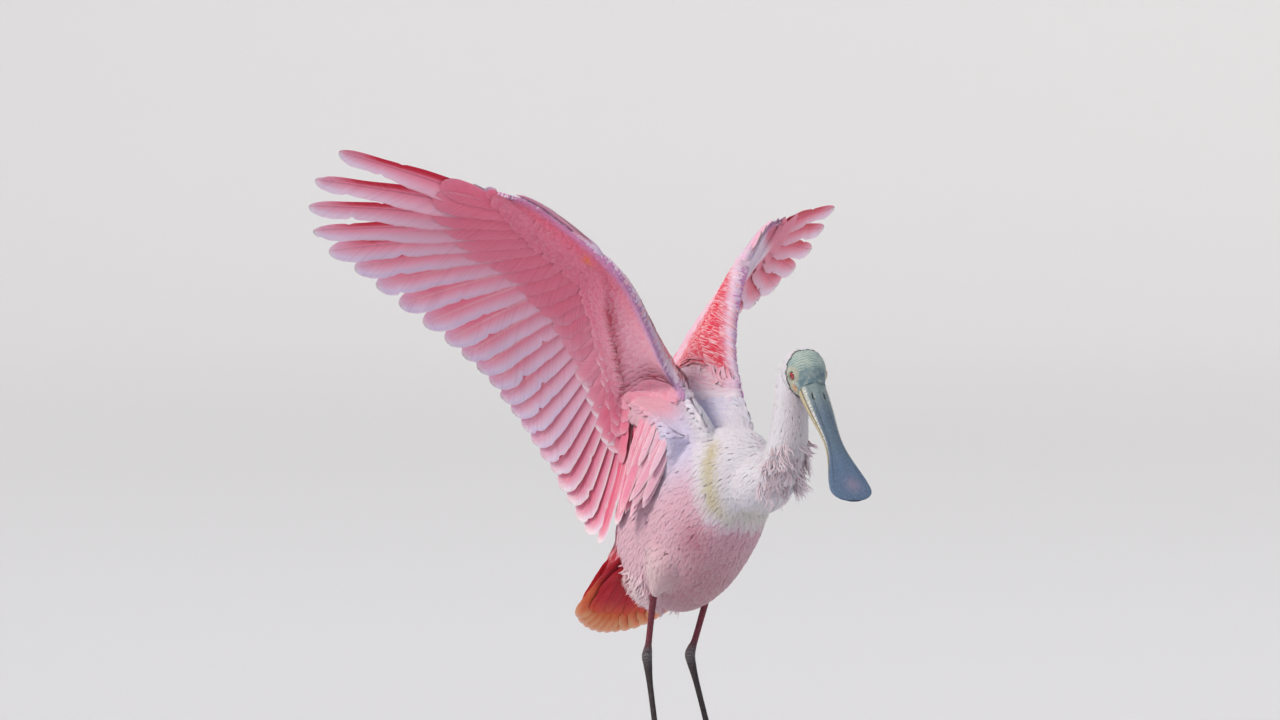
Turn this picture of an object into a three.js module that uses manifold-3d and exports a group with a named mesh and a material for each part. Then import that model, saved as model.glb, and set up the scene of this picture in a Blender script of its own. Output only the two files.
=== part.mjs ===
// A roseate spoonbill, life size, standing with both wings raised, as a museum model.
// Millimetres, +Z up. The bird faces -Y and its left is +X. The points below are measured from
// the floor midway between its feet, and the finished group is then moved so that its origin
// lies on the floor under the middle of the whole bird.
import * as THREE from "three";
import { mergeVertices } from "three/addons/utils/BufferGeometryUtils.js";
import Module from "manifold-3d";

const wasm = await Module();
wasm.setup();

// Driving sizes
const GAP = 0.35; // between parts that touch
const WING_CHORD = 350; // wrist to the tip of the longest primary, folded
const BILL_LENGTH = 163;
const EYE_RADIUS = 6;
const TAIL_LENGTH = 108;
const TOE_LENGTH = 80; // the middle toe
const PRIMARIES = 10;
const SECONDARIES = 13;
const TERTIALS = 4;
const RECTRICES = 12;
const VANE_THICKNESS = 0.7;
const COVERT_THICKNESS = 0.65;
const SHINGLE_TILT = THREE.MathUtils.degToRad(8.5); // how each vane slopes under the next

// Materials
const paint = (colour, roughness) =>
  new THREE.MeshStandardMaterial({ color: colour, roughness, metalness: 0 });
const PALE_PINK = paint(0xf3c3cf, 0.8);
const ROSE = paint(0xec8fa5, 0.75);
const CARMINE = paint(0xd8343f, 0.75);
const ORANGE = paint(0xe98a52, 0.75);
const NECK_WHITE = paint(0xf1e9ec, 0.85);
const BALD_SKIN = paint(0xb9c4b0, 0.6);
const BILL_HORN = paint(0x6f8596, 0.45);
const LEG_SKIN = paint(0x7a2b38, 0.55);
const TOE_SKIN = paint(0x3b2226, 0.6);
const CLAW_HORN = paint(0x1e1a1a, 0.4);
const EYE_RED = paint(0xb3121b, 0.15);

// A point is given as [forwards, outwards, up], with the side it is on.
const RIGHT = -1;
const LEFT = 1;
const SIDES = { right: RIGHT, left: LEFT };
const at = ([forward, out, up], side = LEFT) => new THREE.Vector3(side * out, -forward, up);
const blend = (a, b, t) => a.map((v, c) => v + (b[c] - v) * t);
const shift = (a, by) => a.map((v, c) => v + by[c]);

// A smooth value through [index, numbers] keys: cubic between them and straight beyond them.
function track(keys) {
  const end = keys.length - 1;
  const slope = (n) => {
    const from = keys[Math.max(n - 1, 0)];
    const to = keys[Math.min(n + 1, end)];
    return to[1].map((v, c) => (v - from[1][c]) / (to[0] - from[0]));
  };
  const beyond = (n, index) => slope(n).map((v, c) => keys[n][1][c] + v * (index - keys[n][0]));
  const before = (index) => {
    let n = 0;
    while (index > keys[n + 1][0]) n++;
    return n;
  };
  return (index) => {
    if (index <= keys[0][0]) return beyond(0, index);
    if (index >= keys[end][0]) return beyond(end, index);
    const n = before(index);
    const [[i0, a], [i1, b]] = [keys[n], keys[n + 1]];
    const [ma, mb] = [slope(n), slope(n + 1)];
    const width = i1 - i0;
    const t = (index - i0) / width;
    const hold = t * t * (3 - 2 * t);
    const leave = t * (1 - t) * (1 - t) * width;
    const reach = -t * t * (1 - t) * width;
    return a.map((v, c) => v * (1 - hold) + b[c] * hold + leave * ma[c] + reach * mb[c]);
  };
}

// Straight runs between points, so that what is spaced along them stays evenly spaced.
function polyline(keys) {
  return (index) => {
    let n = 0;
    while (n < keys.length - 2 && index > keys[n + 1][0]) n++;
    const [[i0, a], [i1, b]] = [keys[n], keys[n + 1]];
    return blend(a, b, (index - i0) / (i1 - i0));
  };
}

// Closed solids
function manifold(vertProperties, triVerts) {
  return new wasm.Manifold(new wasm.Mesh({ numProp: 3, vertProperties, triVerts }));
}

// The faces are turned about if they point inwards.
function solid(geometry) {
  const bare = new THREE.BufferGeometry().setAttribute("position", geometry.getAttribute("position"));
  if (geometry.index) bare.setIndex(geometry.index);
  const merged = mergeVertices(bare, 1e-3);
  const corners = merged.attributes.position.array;
  const faces = new Uint32Array(merged.index.array);
  const made = manifold(corners, faces);
  if (made.volume() > 0) return made;
  for (let i = 0; i < faces.length; i += 3) {
    const second = faces[i + 1];
    faces[i + 1] = faces[i + 2];
    faces[i + 2] = second;
  }
  return manifold(corners, faces);
}

// Only the largest closed surface is kept: it fills a sealed hollow and drops a loose scrap.
function largest(made) {
  const pieces = made.decompose();
  return pieces.reduce((best, piece) => (piece.volume() > best.volume() ? piece : best));
}

const fuse = (pieces) => largest(pieces.reduce((whole, piece) => whole.add(piece)));
const less = (whole, ...cutters) => largest(cutters.reduce((rest, cutter) => rest.subtract(cutter), whole));

function part(name, made, material) {
  const { numProp, numVert, vertProperties, triVerts } = made.getMesh();
  const position = new Float32Array(numVert * 3);
  for (let i = 0; i < numVert; i++) {
    position.set(vertProperties.subarray(i * numProp, i * numProp + 3), i * 3);
  }
  const geometry = new THREE.BufferGeometry()
    .setAttribute("position", new THREE.BufferAttribute(position, 3))
    .setIndex(new THREE.BufferAttribute(triVerts, 1));
  geometry.computeVertexNormals();
  const mesh = new THREE.Mesh(geometry, material);
  mesh.name = name;
  return mesh;
}

function surface(points, index) {
  const position = new Float32Array(points.flatMap((p) => p.toArray()));
  return new THREE.BufferGeometry()
    .setAttribute("position", new THREE.BufferAttribute(position, 3))
    .setIndex(index);
}

// A closed skin over rings of points, all with the same count. Each end is closed by a strip that
// runs across its ring, from the first point to the one half way round.
function loft(rings) {
  const count = rings[0].length;
  const top = (rings.length - 1) * count;
  const index = [];
  for (let k = 0; k < rings.length - 1; k++) {
    for (let j = 0; j < count; j++) {
      const a = k * count + j;
      const b = k * count + ((j + 1) % count);
      index.push(a, b, b + count, a, b + count, a + count);
    }
  }
  let [low, high] = [0, count - 1];
  while (high - low > 1) {
    const third = low + 1;
    index.push(low, high, third, top + low, top + third, top + high);
    low = third;
    if (high - low > 1) {
      index.push(low, high, high - 1, top + low, top + high - 1, top + high);
      high--;
    }
  }
  return surface(rings.flat(), index);
}

// A thin plate over rows of [front under, back under, back upper, front upper]. Both its faces
// are split along the same diagonal, so that they never cross where it twists.
function plate(rows) {
  const index = [];
  for (let k = 0; k < rows.length - 1; k++) {
    const [a, b, c, d] = [0, 1, 2, 3].map((j) => k * 4 + j);
    const [e, f, g, h] = [a + 4, b + 4, c + 4, d + 4];
    index.push(a, b, f, a, f, e);
    index.push(d, g, c, d, h, g);
    index.push(b, c, g, b, g, f);
    index.push(a, h, d, a, e, h);
  }
  const end = (rows.length - 1) * 4;
  index.push(0, 2, 1, 0, 3, 2, end, end + 1, end + 2, end, end + 2, end + 3);
  return surface(rows.flat(), index);
}

// An ellipse of points round a centre, in the plane of two directions.
function ellipse(centre, across, upward, half, tall, count) {
  return Array.from({ length: count }, (_, j) => {
    const turn = ((j + 0.5) / count) * 2 * Math.PI;
    const sideways = centre.clone().addScaledVector(across, half * Math.cos(turn));
    return sideways.addScaledVector(upward, tall * Math.sin(turn));
  });
}

// Round sections along a path. Each station is [centre, half width, half depth].
function limb(stations, count, grow = 0) {
  const centres = stations.map(([centre]) => centre);
  const last = centres.length - 1;
  const rings = stations.map(([centre, half, deep], k) => {
    const along = centres[Math.min(k + 1, last)].clone().sub(centres[Math.max(k - 1, 0)]).normalize();
    const across = new THREE.Vector3(1, 0, 0).addScaledVector(along, -along.x).normalize();
    const upward = new THREE.Vector3().crossVectors(along, across);
    const push = (k === last ? grow : 0) - (k === 0 ? grow : 0);
    const middle = centre.clone().addScaledVector(along, push);
    return ellipse(middle, across, upward, half + grow, deep + grow, count);
  });
  return loft(rings);
}

// The same path given as [forwards, outwards, up, half width, half depth].
const stationsOf = (rows, side = LEFT) =>
  rows.map(([forward, out, up, half, deep]) => [at([forward, out, up], side), half, deep]);

// A ball at a point, stretched along the three axes if wanted.
function ball(centre, radius, around, stretch = [1, 1, 1]) {
  const round = new THREE.SphereGeometry(radius, around, Math.round(around * 0.6));
  round.rotateX(Math.PI / 2).scale(...stretch);
  return solid(round.translate(centre.x, centre.y, centre.z));
}

// Torso: an egg with its breast raised. Each ring spans from a point on the back to one on the
// belly: [back forwards, back up, belly forwards, belly up, half width].
const TORSO_RINGS = [
  [-104, 238, -92, 214, 8],
  [-98, 258, -68, 184, 26],
  [-76, 286, -40, 162, 40],
  [-38, 318, -1, 156, 48],
  [8, 342, 37, 171, 55.5],
  [50, 356, 68, 199, 54],
  [86, 360, 96, 234, 44],
  [110, 352, 115, 268, 32],
  [131, 334, 133, 300, 13],
];
const TORSO_SIDES = 20;

function torsoShell(grow) {
  const last = TORSO_RINGS.length - 1;
  const lengthwise = at([0.9, 0, 0.43]);
  const rings = TORSO_RINGS.map(([backForward, backUp, bellyForward, bellyUp, half], k) => {
    const back = at([backForward, 0, backUp]);
    const belly = at([bellyForward, 0, bellyUp]);
    const upward = back.clone().sub(belly);
    const deep = upward.length() / 2;
    const push = (k === last ? grow : 0) - (k === 0 ? grow : 0);
    const centre = back.add(belly).multiplyScalar(0.5).addScaledVector(lengthwise, push);
    return ellipse(centre, at([0, 1, 0]), upward.normalize(), half + grow, deep + grow, TORSO_SIDES);
  });
  return loft(rings);
}

const torso = solid(torsoShell(0));
const torsoCutter = solid(torsoShell(GAP));

// Head, in a frame of its own: forwards runs along the bill, and the origin is where the line of
// the mouth meets the face, midway between the cheeks.
const HEAD_PLACE = at([205, 0, 398]);
const HEAD_YAW = THREE.MathUtils.degToRad(-18.5);
const BILL_DROOP = THREE.MathUtils.degToRad(41.5);
const SKULL_SIDES = 18;
const SKULL_RINGS = [
  // [forwards, half width, crown, throat]
  [-54, 8, 5, -9],
  [-49, 15, 14, -16],
  [-40, 20.2, 22, -20.5],
  [-28, 22.4, 25.2, -22],
  [-15, 19.6, 23, -20],
  [-5, 16.6, 18.6, -15.5],
  [0, 15.6, 15.6, -12],
];
const EYE_PLACE = [-16.5, 15, 6.5];
const LID_RADIUS = 6.3;
const LID_THICKNESS = 1.8;
const EYE_TURN = 0.24; // how far each eye looks forwards

const head = new THREE.Group();
head.position.copy(HEAD_PLACE);
head.rotation.set(BILL_DROOP, 0, HEAD_YAW, "ZYX");
head.updateMatrixWorld(true);

function skullShell(grow) {
  const last = SKULL_RINGS.length - 1;
  const rings = SKULL_RINGS.map(([forward, half, crown, throat], k) => {
    const push = (k === last ? grow : 0) - (k === 0 ? grow : 0);
    const centre = at([forward + push, 0, (crown + throat) / 2]);
    const tall = (crown - throat) / 2;
    return ellipse(centre, at([0, 1, 0]), at([0, 0, 1]), half + grow, tall + grow, SKULL_SIDES);
  });
  return loft(rings);
}

// The lids stand on the skull as a ring round each eye.
function lids(side) {
  const ring = new THREE.TorusGeometry(LID_RADIUS, LID_THICKNESS, 5, 12);
  ring.rotateY(Math.PI / 2);
  ring.rotateZ(-side * EYE_TURN);
  const [forward, out, up] = EYE_PLACE;
  const centre = at([forward, out + 3.5, up], side);
  return solid(ring.translate(centre.x, centre.y, centre.z));
}

// The line of the mouth runs on into the face below each eye.
const GAPE = { length: 8, depth: 9, height: 0.8 };

function gape(side) {
  const slit = new THREE.BoxGeometry(GAPE.depth, GAPE.length, GAPE.height);
  const centre = at([-GAPE.length / 2 + 0.5, 18, 0], side);
  return solid(slit.translate(centre.x, centre.y, centre.z));
}

// Bill: a flat spoon in two halves with the mouth between them.
// Stations are [share of its length, half width, upper depth, lower depth].
const BILL_STATIONS = [
  [0.003, 15.1, 14.2, 10.5],
  [0.09, 15, 12.4, 9.6],
  [0.2, 14, 9.8, 7.6],
  [0.32, 12.2, 7.4, 5.8],
  [0.44, 10.6, 5.6, 4.4],
  [0.55, 11.2, 4.6, 3.6],
  [0.66, 14.4, 4, 3],
  [0.76, 18.6, 3.5, 2.6],
  [0.85, 22, 3.1, 2.3],
  [0.93, 22.6, 2.7, 2],
  [0.98, 16, 2.2, 1.6],
  [1, 7, 1.6, 1.2],
];
const MOUTH_HALF_GAP = 0.22;
const BILL_TIP_DROP = 5; // the spoon bends a little down towards its tip
// Across a half: a flat side at the mouth and a low ridge away from it.
const BILL_SECTION = [
  [-1, 0], [-0.96, 0.34], [-0.72, 0.66], [-0.4, 0.8], [-0.2, 1],
  [0.2, 1], [0.4, 0.8], [0.72, 0.66], [0.96, 0.34], [1, 0],
];

function mandible(upper) {
  const face = upper ? 1 : -1;
  const narrower = upper ? 0 : 0.6;
  const rings = BILL_STATIONS.map(([share, half, up, down]) => {
    const drop = BILL_TIP_DROP * share ** 3;
    return BILL_SECTION.map(([x, z]) => {
      const lift = MOUTH_HALF_GAP + z * (upper ? up : down);
      return at([share * BILL_LENGTH, x * (half - narrower), face * lift - drop]);
    });
  });
  return solid(loft(rings));
}

// The nostrils are slits near the bill's root, on each side of its ridge.
const nostril = (side) => ball(at([19, 6.4, 11.6], side), 1, 10, [1.1, 6.5, 2.2]);

function buildHead() {
  const sides = Object.entries(SIDES);
  const socket = ([, side]) => ball(at(EYE_PLACE, side), EYE_RADIUS + GAP, 12);
  const skull = fuse([solid(skullShell(0)), ...sides.map(([, side]) => lids(side))]);
  head.add(part("head", less(skull, ...sides.map(socket), ...sides.map(([, side]) => gape(side))), BALD_SKIN));
  head.add(part("bill_upper", less(mandible(true), ...sides.map(([, side]) => nostril(side))), BILL_HORN));
  head.add(part("bill_lower", mandible(false), BILL_HORN));
  for (const [name, side] of sides) {
    head.add(part(`eye_${name}`, ball(at(EYE_PLACE, side), EYE_RADIUS, 12), EYE_RED));
  }
  return head;
}

// Neck: forwards out of the breast, then up to the skull, in two lengths.
// Stations are [forwards, outwards, up, half width, half depth].
const NECK_ROWS = [
  [92, 0, 300, 25, 27],
  [120, 0, 297, 33, 34],
  [143, 0, 304, 28, 27],
  [158, 0, 321, 25.4, 24],
  [166, 1, 343, 23.5, 22.5],
  [167, 3, 366, 21.8, 21.2],
  [167, 5, 388, 21, 21],
  [167, 8, 408, 21.5, 21],
  [173, 10, 426, 17, 16],
];
const NECK_PARTING = 3; // the station where the upper length starts
const NECK_SIDES = 16;
const BREAST_LOCKS = [
  // [turn round the front in degrees, level, length]
  [-66, 316, 24], [-40, 312, 29], [-14, 309, 33], [12, 309, 32], [38, 312, 28], [64, 316, 23],
  [-52, 298, 22], [-27, 294, 27], [-1, 292, 30], [25, 294, 26], [50, 298, 21],
];

// A tapered lock of feathers from a root, along a way, bending outwards towards its end.
const LOCK_OUTLINE = [[0, 0.7], [0.4, 1], [0.75, 0.72], [1, 0.2]];

function lock(root, way, across, { length, half, bend, thick }) {
  const face = new THREE.Vector3().crossVectors(way, across).normalize();
  const rows = LOCK_OUTLINE.map(([share, wide]) => {
    const centre = root.clone().addScaledVector(way, share * length).addScaledVector(face, bend * share ** 2);
    const deep = (thick / 2) * (1 - 0.45 * share);
    return [[-1, -1], [1, -1], [1, 1], [-1, 1]].map(([x, z]) =>
      centre.clone().addScaledVector(across, x * wide * half).addScaledVector(face, z * deep),
    );
  });
  return solid(plate(rows));
}

function breastLock([degrees, up, length]) {
  const turn = THREE.MathUtils.degToRad(degrees);
  const out = at([Math.cos(turn), Math.sin(turn), 0]);
  const across = at([-Math.sin(turn), Math.cos(turn), 0]);
  const root = at([141, 0, up]).addScaledVector(out, 22);
  const way = out.clone().multiplyScalar(0.34).add(at([0, 0, -0.94])).normalize();
  return lock(root, way, across, { length, half: 5.4, bend: 0.12 * length, thick: 2.2 });
}

const skullCutter = solid(skullShell(GAP).applyMatrix4(head.matrixWorld));

function buildNeck() {
  const stations = stationsOf(NECK_ROWS);
  const [joint, half, deep] = stations[NECK_PARTING];
  const along = stations[NECK_PARTING + 1][0].clone().sub(stations[NECK_PARTING - 1][0]).normalize();
  const near = (distance) => [joint.clone().addScaledVector(along, distance), half, deep];
  const low = [...stations.slice(0, NECK_PARTING), near(-1), near(0)];
  const high = [near(GAP), near(GAP + 1), ...stations.slice(NECK_PARTING + 1)];
  const upper = less(solid(limb(high, NECK_SIDES)), skullCutter);
  const upperCutter = solid(limb(high, NECK_SIDES, GAP));
  const locks = BREAST_LOCKS.map(breastLock);
  const lower = less(fuse([solid(limb(low, NECK_SIDES)), ...locks]), torsoCutter, upperCutter);
  return [part("neck_lower", lower, NECK_WHITE), part("neck_upper", upper, NECK_WHITE)];
}

// Feathers lie on sheets. A sheet gives, for a feather's number and a distance from its root, the
// middle of its shaft there, the way along it, the way across it towards the body, and the way
// up out of the back of the wing.
function sheet(side, { root, way, bulge = () => 0 }) {
  const wayAt = (i) => at(way(i), side).normalize();
  const spot = (i, r) => at(root(i), side).addScaledVector(wayAt(i), r);
  return (i, r, lift = 0) => {
    const along = wayAt(i);
    const across = spot(i + 0.4, r).sub(spot(i - 0.4, r));
    across.addScaledVector(along, -across.dot(along));
    const spacing = across.length() / 0.8;
    across.normalize();
    const up = new THREE.Vector3().crossVectors(along, across).multiplyScalar(side);
    const centre = spot(i, r).addScaledVector(up, lift + bulge(i, r));
    return { centre, along, across, up, spacing };
  };
}

// The outlines of a vane, as [share of length, share of the leading width, of the trailing one].
const FLIGHT_OUTLINE = [[0, 0.3, 0.2], [0.3, 0.9, 0.85], [0.65, 1, 1], [0.93, 0.84, 0.8], [1, 0.36, 0.32]];
const FINGER_OUTLINE = [[0, 0.3, 0.2], [0.25, 0.9, 0.8], [0.5, 1, 1], [0.7, 0.82, 0.74], [0.94, 0.66, 0.6],
  [1, 0.26, 0.22]];
const COVERT_OUTLINE = [[0, 0.4, 0.4], [0.55, 1, 1], [0.9, 0.84, 0.84], [1, 0.35, 0.35]];

const STOP_GAP = 0.4; // from a vane's edge to the line where it stops
const REACH = { front: 0.85, back: 1.1 }; // how far a vane may reach, in spacings of its feathers

// One feather's vane: a thin plate that slopes so that its leading edge lies over the vane in
// front of it and its trailing edge under the one behind. Where a stop gives a feather's number,
// that edge keeps clear of the line on which that feather would lie.
function vane(frameAt, i, { start = 0, length, lead, trail, outline, lift, thick, tilt = SHINGLE_TILT, stops = [] }) {
  const rows = outline.map(([share, leadShare, trailShare]) => {
    const r = start + share * length;
    const { centre, across, up, spacing } = frameAt(i, r, lift(share));
    const room = (stop) => {
      if (stop === undefined) return Infinity;
      return Math.abs(frameAt(stop, r, lift(share)).centre.sub(centre).dot(across)) - STOP_GAP;
    };
    const flat = across.clone().multiplyScalar(Math.cos(tilt)).addScaledVector(up, -Math.sin(tilt));
    const out = up.clone().multiplyScalar(Math.cos(tilt)).addScaledVector(across, Math.sin(tilt));
    const front = Math.min(lead * leadShare, REACH.front * spacing, room(stops[0]));
    const back = Math.min(trail * trailShare, REACH.back * spacing, room(stops[1]));
    return [[-front, -1], [back, -1], [back, 1], [-front, 1]].map(([x, z]) =>
      centre.clone().addScaledVector(flat, x).addScaledVector(out, (z * thick) / 2),
    );
  });
  return solid(plate(rows));
}

// Wings. Feathers are numbered inwards: 0 to 9 are the primaries, 10 to 22 the secondaries and
// 23 to 26 the tertials. The wrist and the elbow lie between two numbers.
const WRIST = PRIMARIES - 0.5;
const ELBOW = WRIST + SECONDARIES;
const ROOT = ELBOW + TERTIALS + 0.5;
const SUNK = ROOT + 4; // where the arm's body ends, inside the torso
const SHOULDER = [62, 46, 342];
const HUMERUS_SHARE = 0.4; // how far along it the last tertial grows
// The front edge of the wing, inwards from the middle of the forearm, is alike on both sides.
const INNER_NOSE = [
  [15, [12, 60, 457]], [19, [25, 50, 420]], [ELBOW, [42, 42, 396]], [ROOT, [73, 33, 358]],
  [SUNK, [88, 22, 300]],
];
const INNER_WAYS = [[24, [-0.19, 0.09, -0.975]], [ROOT, [-0.03, 0.2, -0.98]], [SUNK, [-0.1, 0.05, -0.98]]];
const WINGS = {
  right: {
    elbow: [-57, 29, 388],
    wrist: [-22, 94, 521],
    fingertip: [-63, 177, 585],
    outerNose: [[WRIST, [-13, 97, 531]], [12, [2, 77, 500]]],
    outerWays: [
      [0, [-0.446, 0.839, 0.312]], [1, [-0.521, 0.835, 0.178]], [3, [-0.643, 0.766, 0]],
      [6, [-0.786, 0.592, -0.18]], [9, [-0.852, 0.344, -0.394]], [13, [-0.825, 0.116, -0.553]],
      [18, [-0.645, 0.011, -0.765]], [22, [-0.39, 0.007, -0.92]],
    ],
  },
  left: {
    elbow: [-58, 29, 385],
    wrist: [-24, 95, 512],
    fingertip: [-66, 176, 556],
    outerNose: [[WRIST, [-15, 98, 524]], [12, [1, 76, 495]]],
    outerWays: [
      [0, [-0.495, 0.86, 0.125]], [1, [-0.56, 0.828, 0.035]], [3, [-0.652, 0.75, -0.114]],
      [6, [-0.771, 0.573, -0.278]], [9, [-0.84, 0.37, -0.4]], [13, [-0.82, 0.14, -0.555]],
      [18, [-0.66, 0.02, -0.75]], [22, [-0.4, 0.01, -0.915]],
    ],
  },
};

// Shares of the folded wing: how long each flight feather is past its root.
const flightShare = track([
  [0, [0.586]], [1, [0.656]], [3, [0.7]], [6, [0.622]], [9, [0.58]], [13, [0.53]], [18, [0.492]],
  [23, [0.471]], [24, [0.385]], [26, [0.27]],
]);
const lengthOf = (i) => flightShare(i)[0] * WING_CHORD;
const widthOf = (() => {
  const width = track([[0, [26]], [2, [31]], [5, [34]], [9, [34]], [15, [31]], [22, [28]], [26, [24]]]);
  return (i) => width(i)[0];
})();
const FLIGHT_BULGE = 6; // how far a vane arches over the straight line from its root to its tip
const FINGERS = 4; // primaries with a narrowed end

// The arm under its small feathers. Each section runs from its front edge back to the quills'
// root line, and on along the quills to a flat wall, out of which the flight feathers and the
// coverts over and under them grow. The front is [share of the way, share of half the depth].
const ARM_FRONT = [[0.06, 0.5], [0.42, 1], [1, 0.9]];
const ARM_ARCH = 19; // how far the front arches up over the straight line to the root
const ARM_ARCH_CHORD = 80; // the width of the front from which it has its whole arch

const armDepth = track([
  [-1.5, [5]], [0, [9]], [5, [13]], [WRIST, [17]], [16, [18]], [ELBOW, [24]], [ROOT, [32]], [SUNK, [30]],
]);
const armWall = track([[-1.5, [2.8]], [0, [6]], [3, [6.4]], [SUNK, [6.8]]]);
const armReach = track([[-1.5, [20]], [0, [22]], [5, [26]], [WRIST, [28]], [ELBOW, [28]], [ROOT, [28]], [SUNK, [60]]]);

function wingPlan(side, { elbow, wrist, fingertip, outerNose, outerWays }) {
  const way = track([...outerWays, ...INNER_WAYS]);
  const middleHand = blend(fingertip, wrist, 0.5);
  const root = polyline([
    [0, fingertip], [WRIST / 2, middleHand], [WRIST, wrist],
    [(WRIST + ELBOW) / 2, blend(wrist, elbow, 0.5)], [ELBOW, elbow],
    [ROOT, blend(elbow, SHOULDER, HUMERUS_SHARE)],
  ]);
  const bulge = (i, r) => {
    const share = r / lengthOf(Math.min(i, ELBOW));
    return FLIGHT_BULGE * 4 * share * (1 - share);
  };
  const frameAt = sheet(side, { root, way, bulge });
  const nose = track([
    [-1.5, shift(fingertip, way(0).map((v, c) => v * 39 + [4, -2, 9][c]))],
    [0, shift(fingertip, [4, -2, 13])],
    [WRIST / 2, shift(middleHand, [5, -1, 15])],
    ...outerNose,
    ...INNER_NOSE,
  ]);
  // The section at a feather's number: its front edge, the place where the quill leaves the arm,
  // the way back to the quill's root, the way out of the back of the wing, and the ways inwards
  // for the front, the root and the rear.
  const section = (i) => {
    const front = at(nose(i), side);
    const { centre: quill, up: quillUp, across } = frameAt(i, 0);
    const { centre: rear, along: rearWay, across: rearIn, up: rearUp } = frameAt(i, armReach(i)[0]);
    const chord = quill.sub(front);
    const long = chord.length();
    chord.normalize();
    const flat = quillUp.clone().addScaledVector(chord, -quillUp.dot(chord)).normalize();
    const frontIn = new THREE.Vector3().crossVectors(chord, flat);
    if (frontIn.dot(across) < 0) frontIn.negate();
    const rootIn = frontIn.clone().add(rearIn).divideScalar(1 + frontIn.dot(rearIn));
    return { front, rear, chord, long, flat, rearUp, rearWay, inwards: [frontIn, rootIn, rearIn] };
  };
  return { frameAt, section };
}

function armRing({ section }, i, push = 0, grow = 0) {
  const { front, rear, chord, long, flat, rearUp, rearWay, inwards: [frontIn, rootIn, rearIn] } = section(i);
  rear.addScaledVector(rearWay, grow);
  const half = armDepth(i)[0] / 2 + grow;
  const wall = armWall(i)[0] + grow;
  const overFront = ([share, height]) => {
    const arch = ARM_ARCH * 4 * share * (1 - share) * Math.min(1, long / ARM_ARCH_CHORD);
    return front.clone().addScaledVector(chord, share * long).addScaledVector(flat, height * half + arch);
  };
  const upper = ARM_FRONT.map(overFront);
  const under = ARM_FRONT.map(([share, height]) => overFront([share, -height]));
  const tip = front.clone().addScaledVector(chord, -grow);
  const ring = [
    tip, ...upper, rear.clone().addScaledVector(rearUp, wall),
    rear.clone().addScaledVector(rearUp, -wall), ...under.reverse(),
  ];
  const ways = [frontIn, frontIn, frontIn, rootIn, rearIn, rearIn, rootIn, frontIn, frontIn];
  return ring.map((point, n) => point.addScaledVector(ways[n], push));
}

// The arm's body from one feather number to another, with half the gap left at a joint.
function armBody(plan, from, to, steps, [pushFrom, pushTo], grow = 0) {
  const rings = Array.from({ length: steps + 1 }, (_, k) => {
    const push = (k === 0 ? pushFrom : 0) + (k === steps ? pushTo : 0);
    return armRing(plan, from + ((to - from) * k) / steps, push, grow);
  });
  return solid(loft(rings));
}

// The feathers of one length of the arm, numbered first to last. The edges of the two next to a
// joint of the arm stop at the joint's own line.
const stopsAt = (i, [first, last]) => [
  first > 0 && i - first < 2 ? first - 0.5 : undefined,
  last - i < 2 ? last + 0.5 : undefined,
];
const VANE_SUNK = 8; // how far each root goes into the arm's wall

function flightFeather({ frameAt }, i, ends) {
  const finger = i < FINGERS;
  const leadShare = finger ? 0.34 : 0.44;
  const start = armReach(i)[0] - VANE_SUNK;
  return vane(frameAt, i, {
    start,
    length: lengthOf(i) - start,
    lead: widthOf(i) * leadShare,
    trail: widthOf(i) * (1 - leadShare),
    outline: finger ? FINGER_OUTLINE : FLIGHT_OUTLINE,
    lift: () => 0,
    thick: VANE_THICKNESS,
    stops: stopsAt(i, ends),
  });
}

// Greater coverts, one over and one under each flight feather.
const COVERT = { share: 0.45, inWall: 1.8, lower: 0.5, width: 0.86 };

function coverts({ frameAt }, i, ends) {
  const start = armReach(i)[0] - VANE_SUNK;
  return [1, -1].map((face) =>
    vane(frameAt, i, {
      start,
      length: lengthOf(i) * COVERT.share - start,
      lead: (widthOf(i) * COVERT.width) / 2,
      trail: (widthOf(i) * COVERT.width) / 2,
      outline: COVERT_OUTLINE,
      lift: (share) => face * (armWall(i)[0] - COVERT.inWall - COVERT.lower * share),
      thick: COVERT_THICKNESS,
      stops: stopsAt(i, ends),
    }),
  );
}

function feathers(plan, first, last) {
  const numbers = Array.from({ length: last - first + 1 }, (_, n) => first + n);
  const ends = [first, last];
  return numbers.flatMap((i) => [flightFeather(plan, i, ends), ...coverts(plan, i, ends)]);
}

// Alula: the thumb, and three short feathers along the front of the hand.
const THUMB = [
  // [feather number, behind the edge, above it, radius]
  [9.2, 8, 2, 5],
  [8.2, 0, 3, 6],
  [6.8, -2.5, 2.5, 5],
  [5.6, -3.5, 2, 2.2],
];
const ALULA_FEATHERS = [
  // [number at the root, at the tip, clear of the edge, half width]
  [7.6, -0.4, 2.4, 7],
  [7.7, 1.4, 3.6, 7.5],
  [7.8, 3.2, 4.8, 7],
];
const ALULA_OUTLINE = [[0, 0.4], [0.25, 0.95], [0.6, 1], [0.88, 0.7], [1, 0.2]];
const ALULA_TURN = THREE.MathUtils.degToRad(52); // from the plane of the hand

function alulaFeather({ section }, [from, to, clear, half]) {
  const rows = ALULA_OUTLINE.map(([share, wide]) => {
    const { front, chord, flat } = section(from + (to - from) * share);
    const across = chord.clone().multiplyScalar(Math.cos(ALULA_TURN)).addScaledVector(flat, Math.sin(ALULA_TURN));
    const out = flat.clone().multiplyScalar(Math.cos(ALULA_TURN)).addScaledVector(chord, -Math.sin(ALULA_TURN));
    return [[-1, -1], [1, -1], [1, 1], [-1, 1]].map(([x, z]) =>
      front.clone().addScaledVector(across, x * wide * half).addScaledVector(out, clear + (z * COVERT_THICKNESS) / 2),
    );
  });
  return solid(plate(rows));
}

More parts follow.
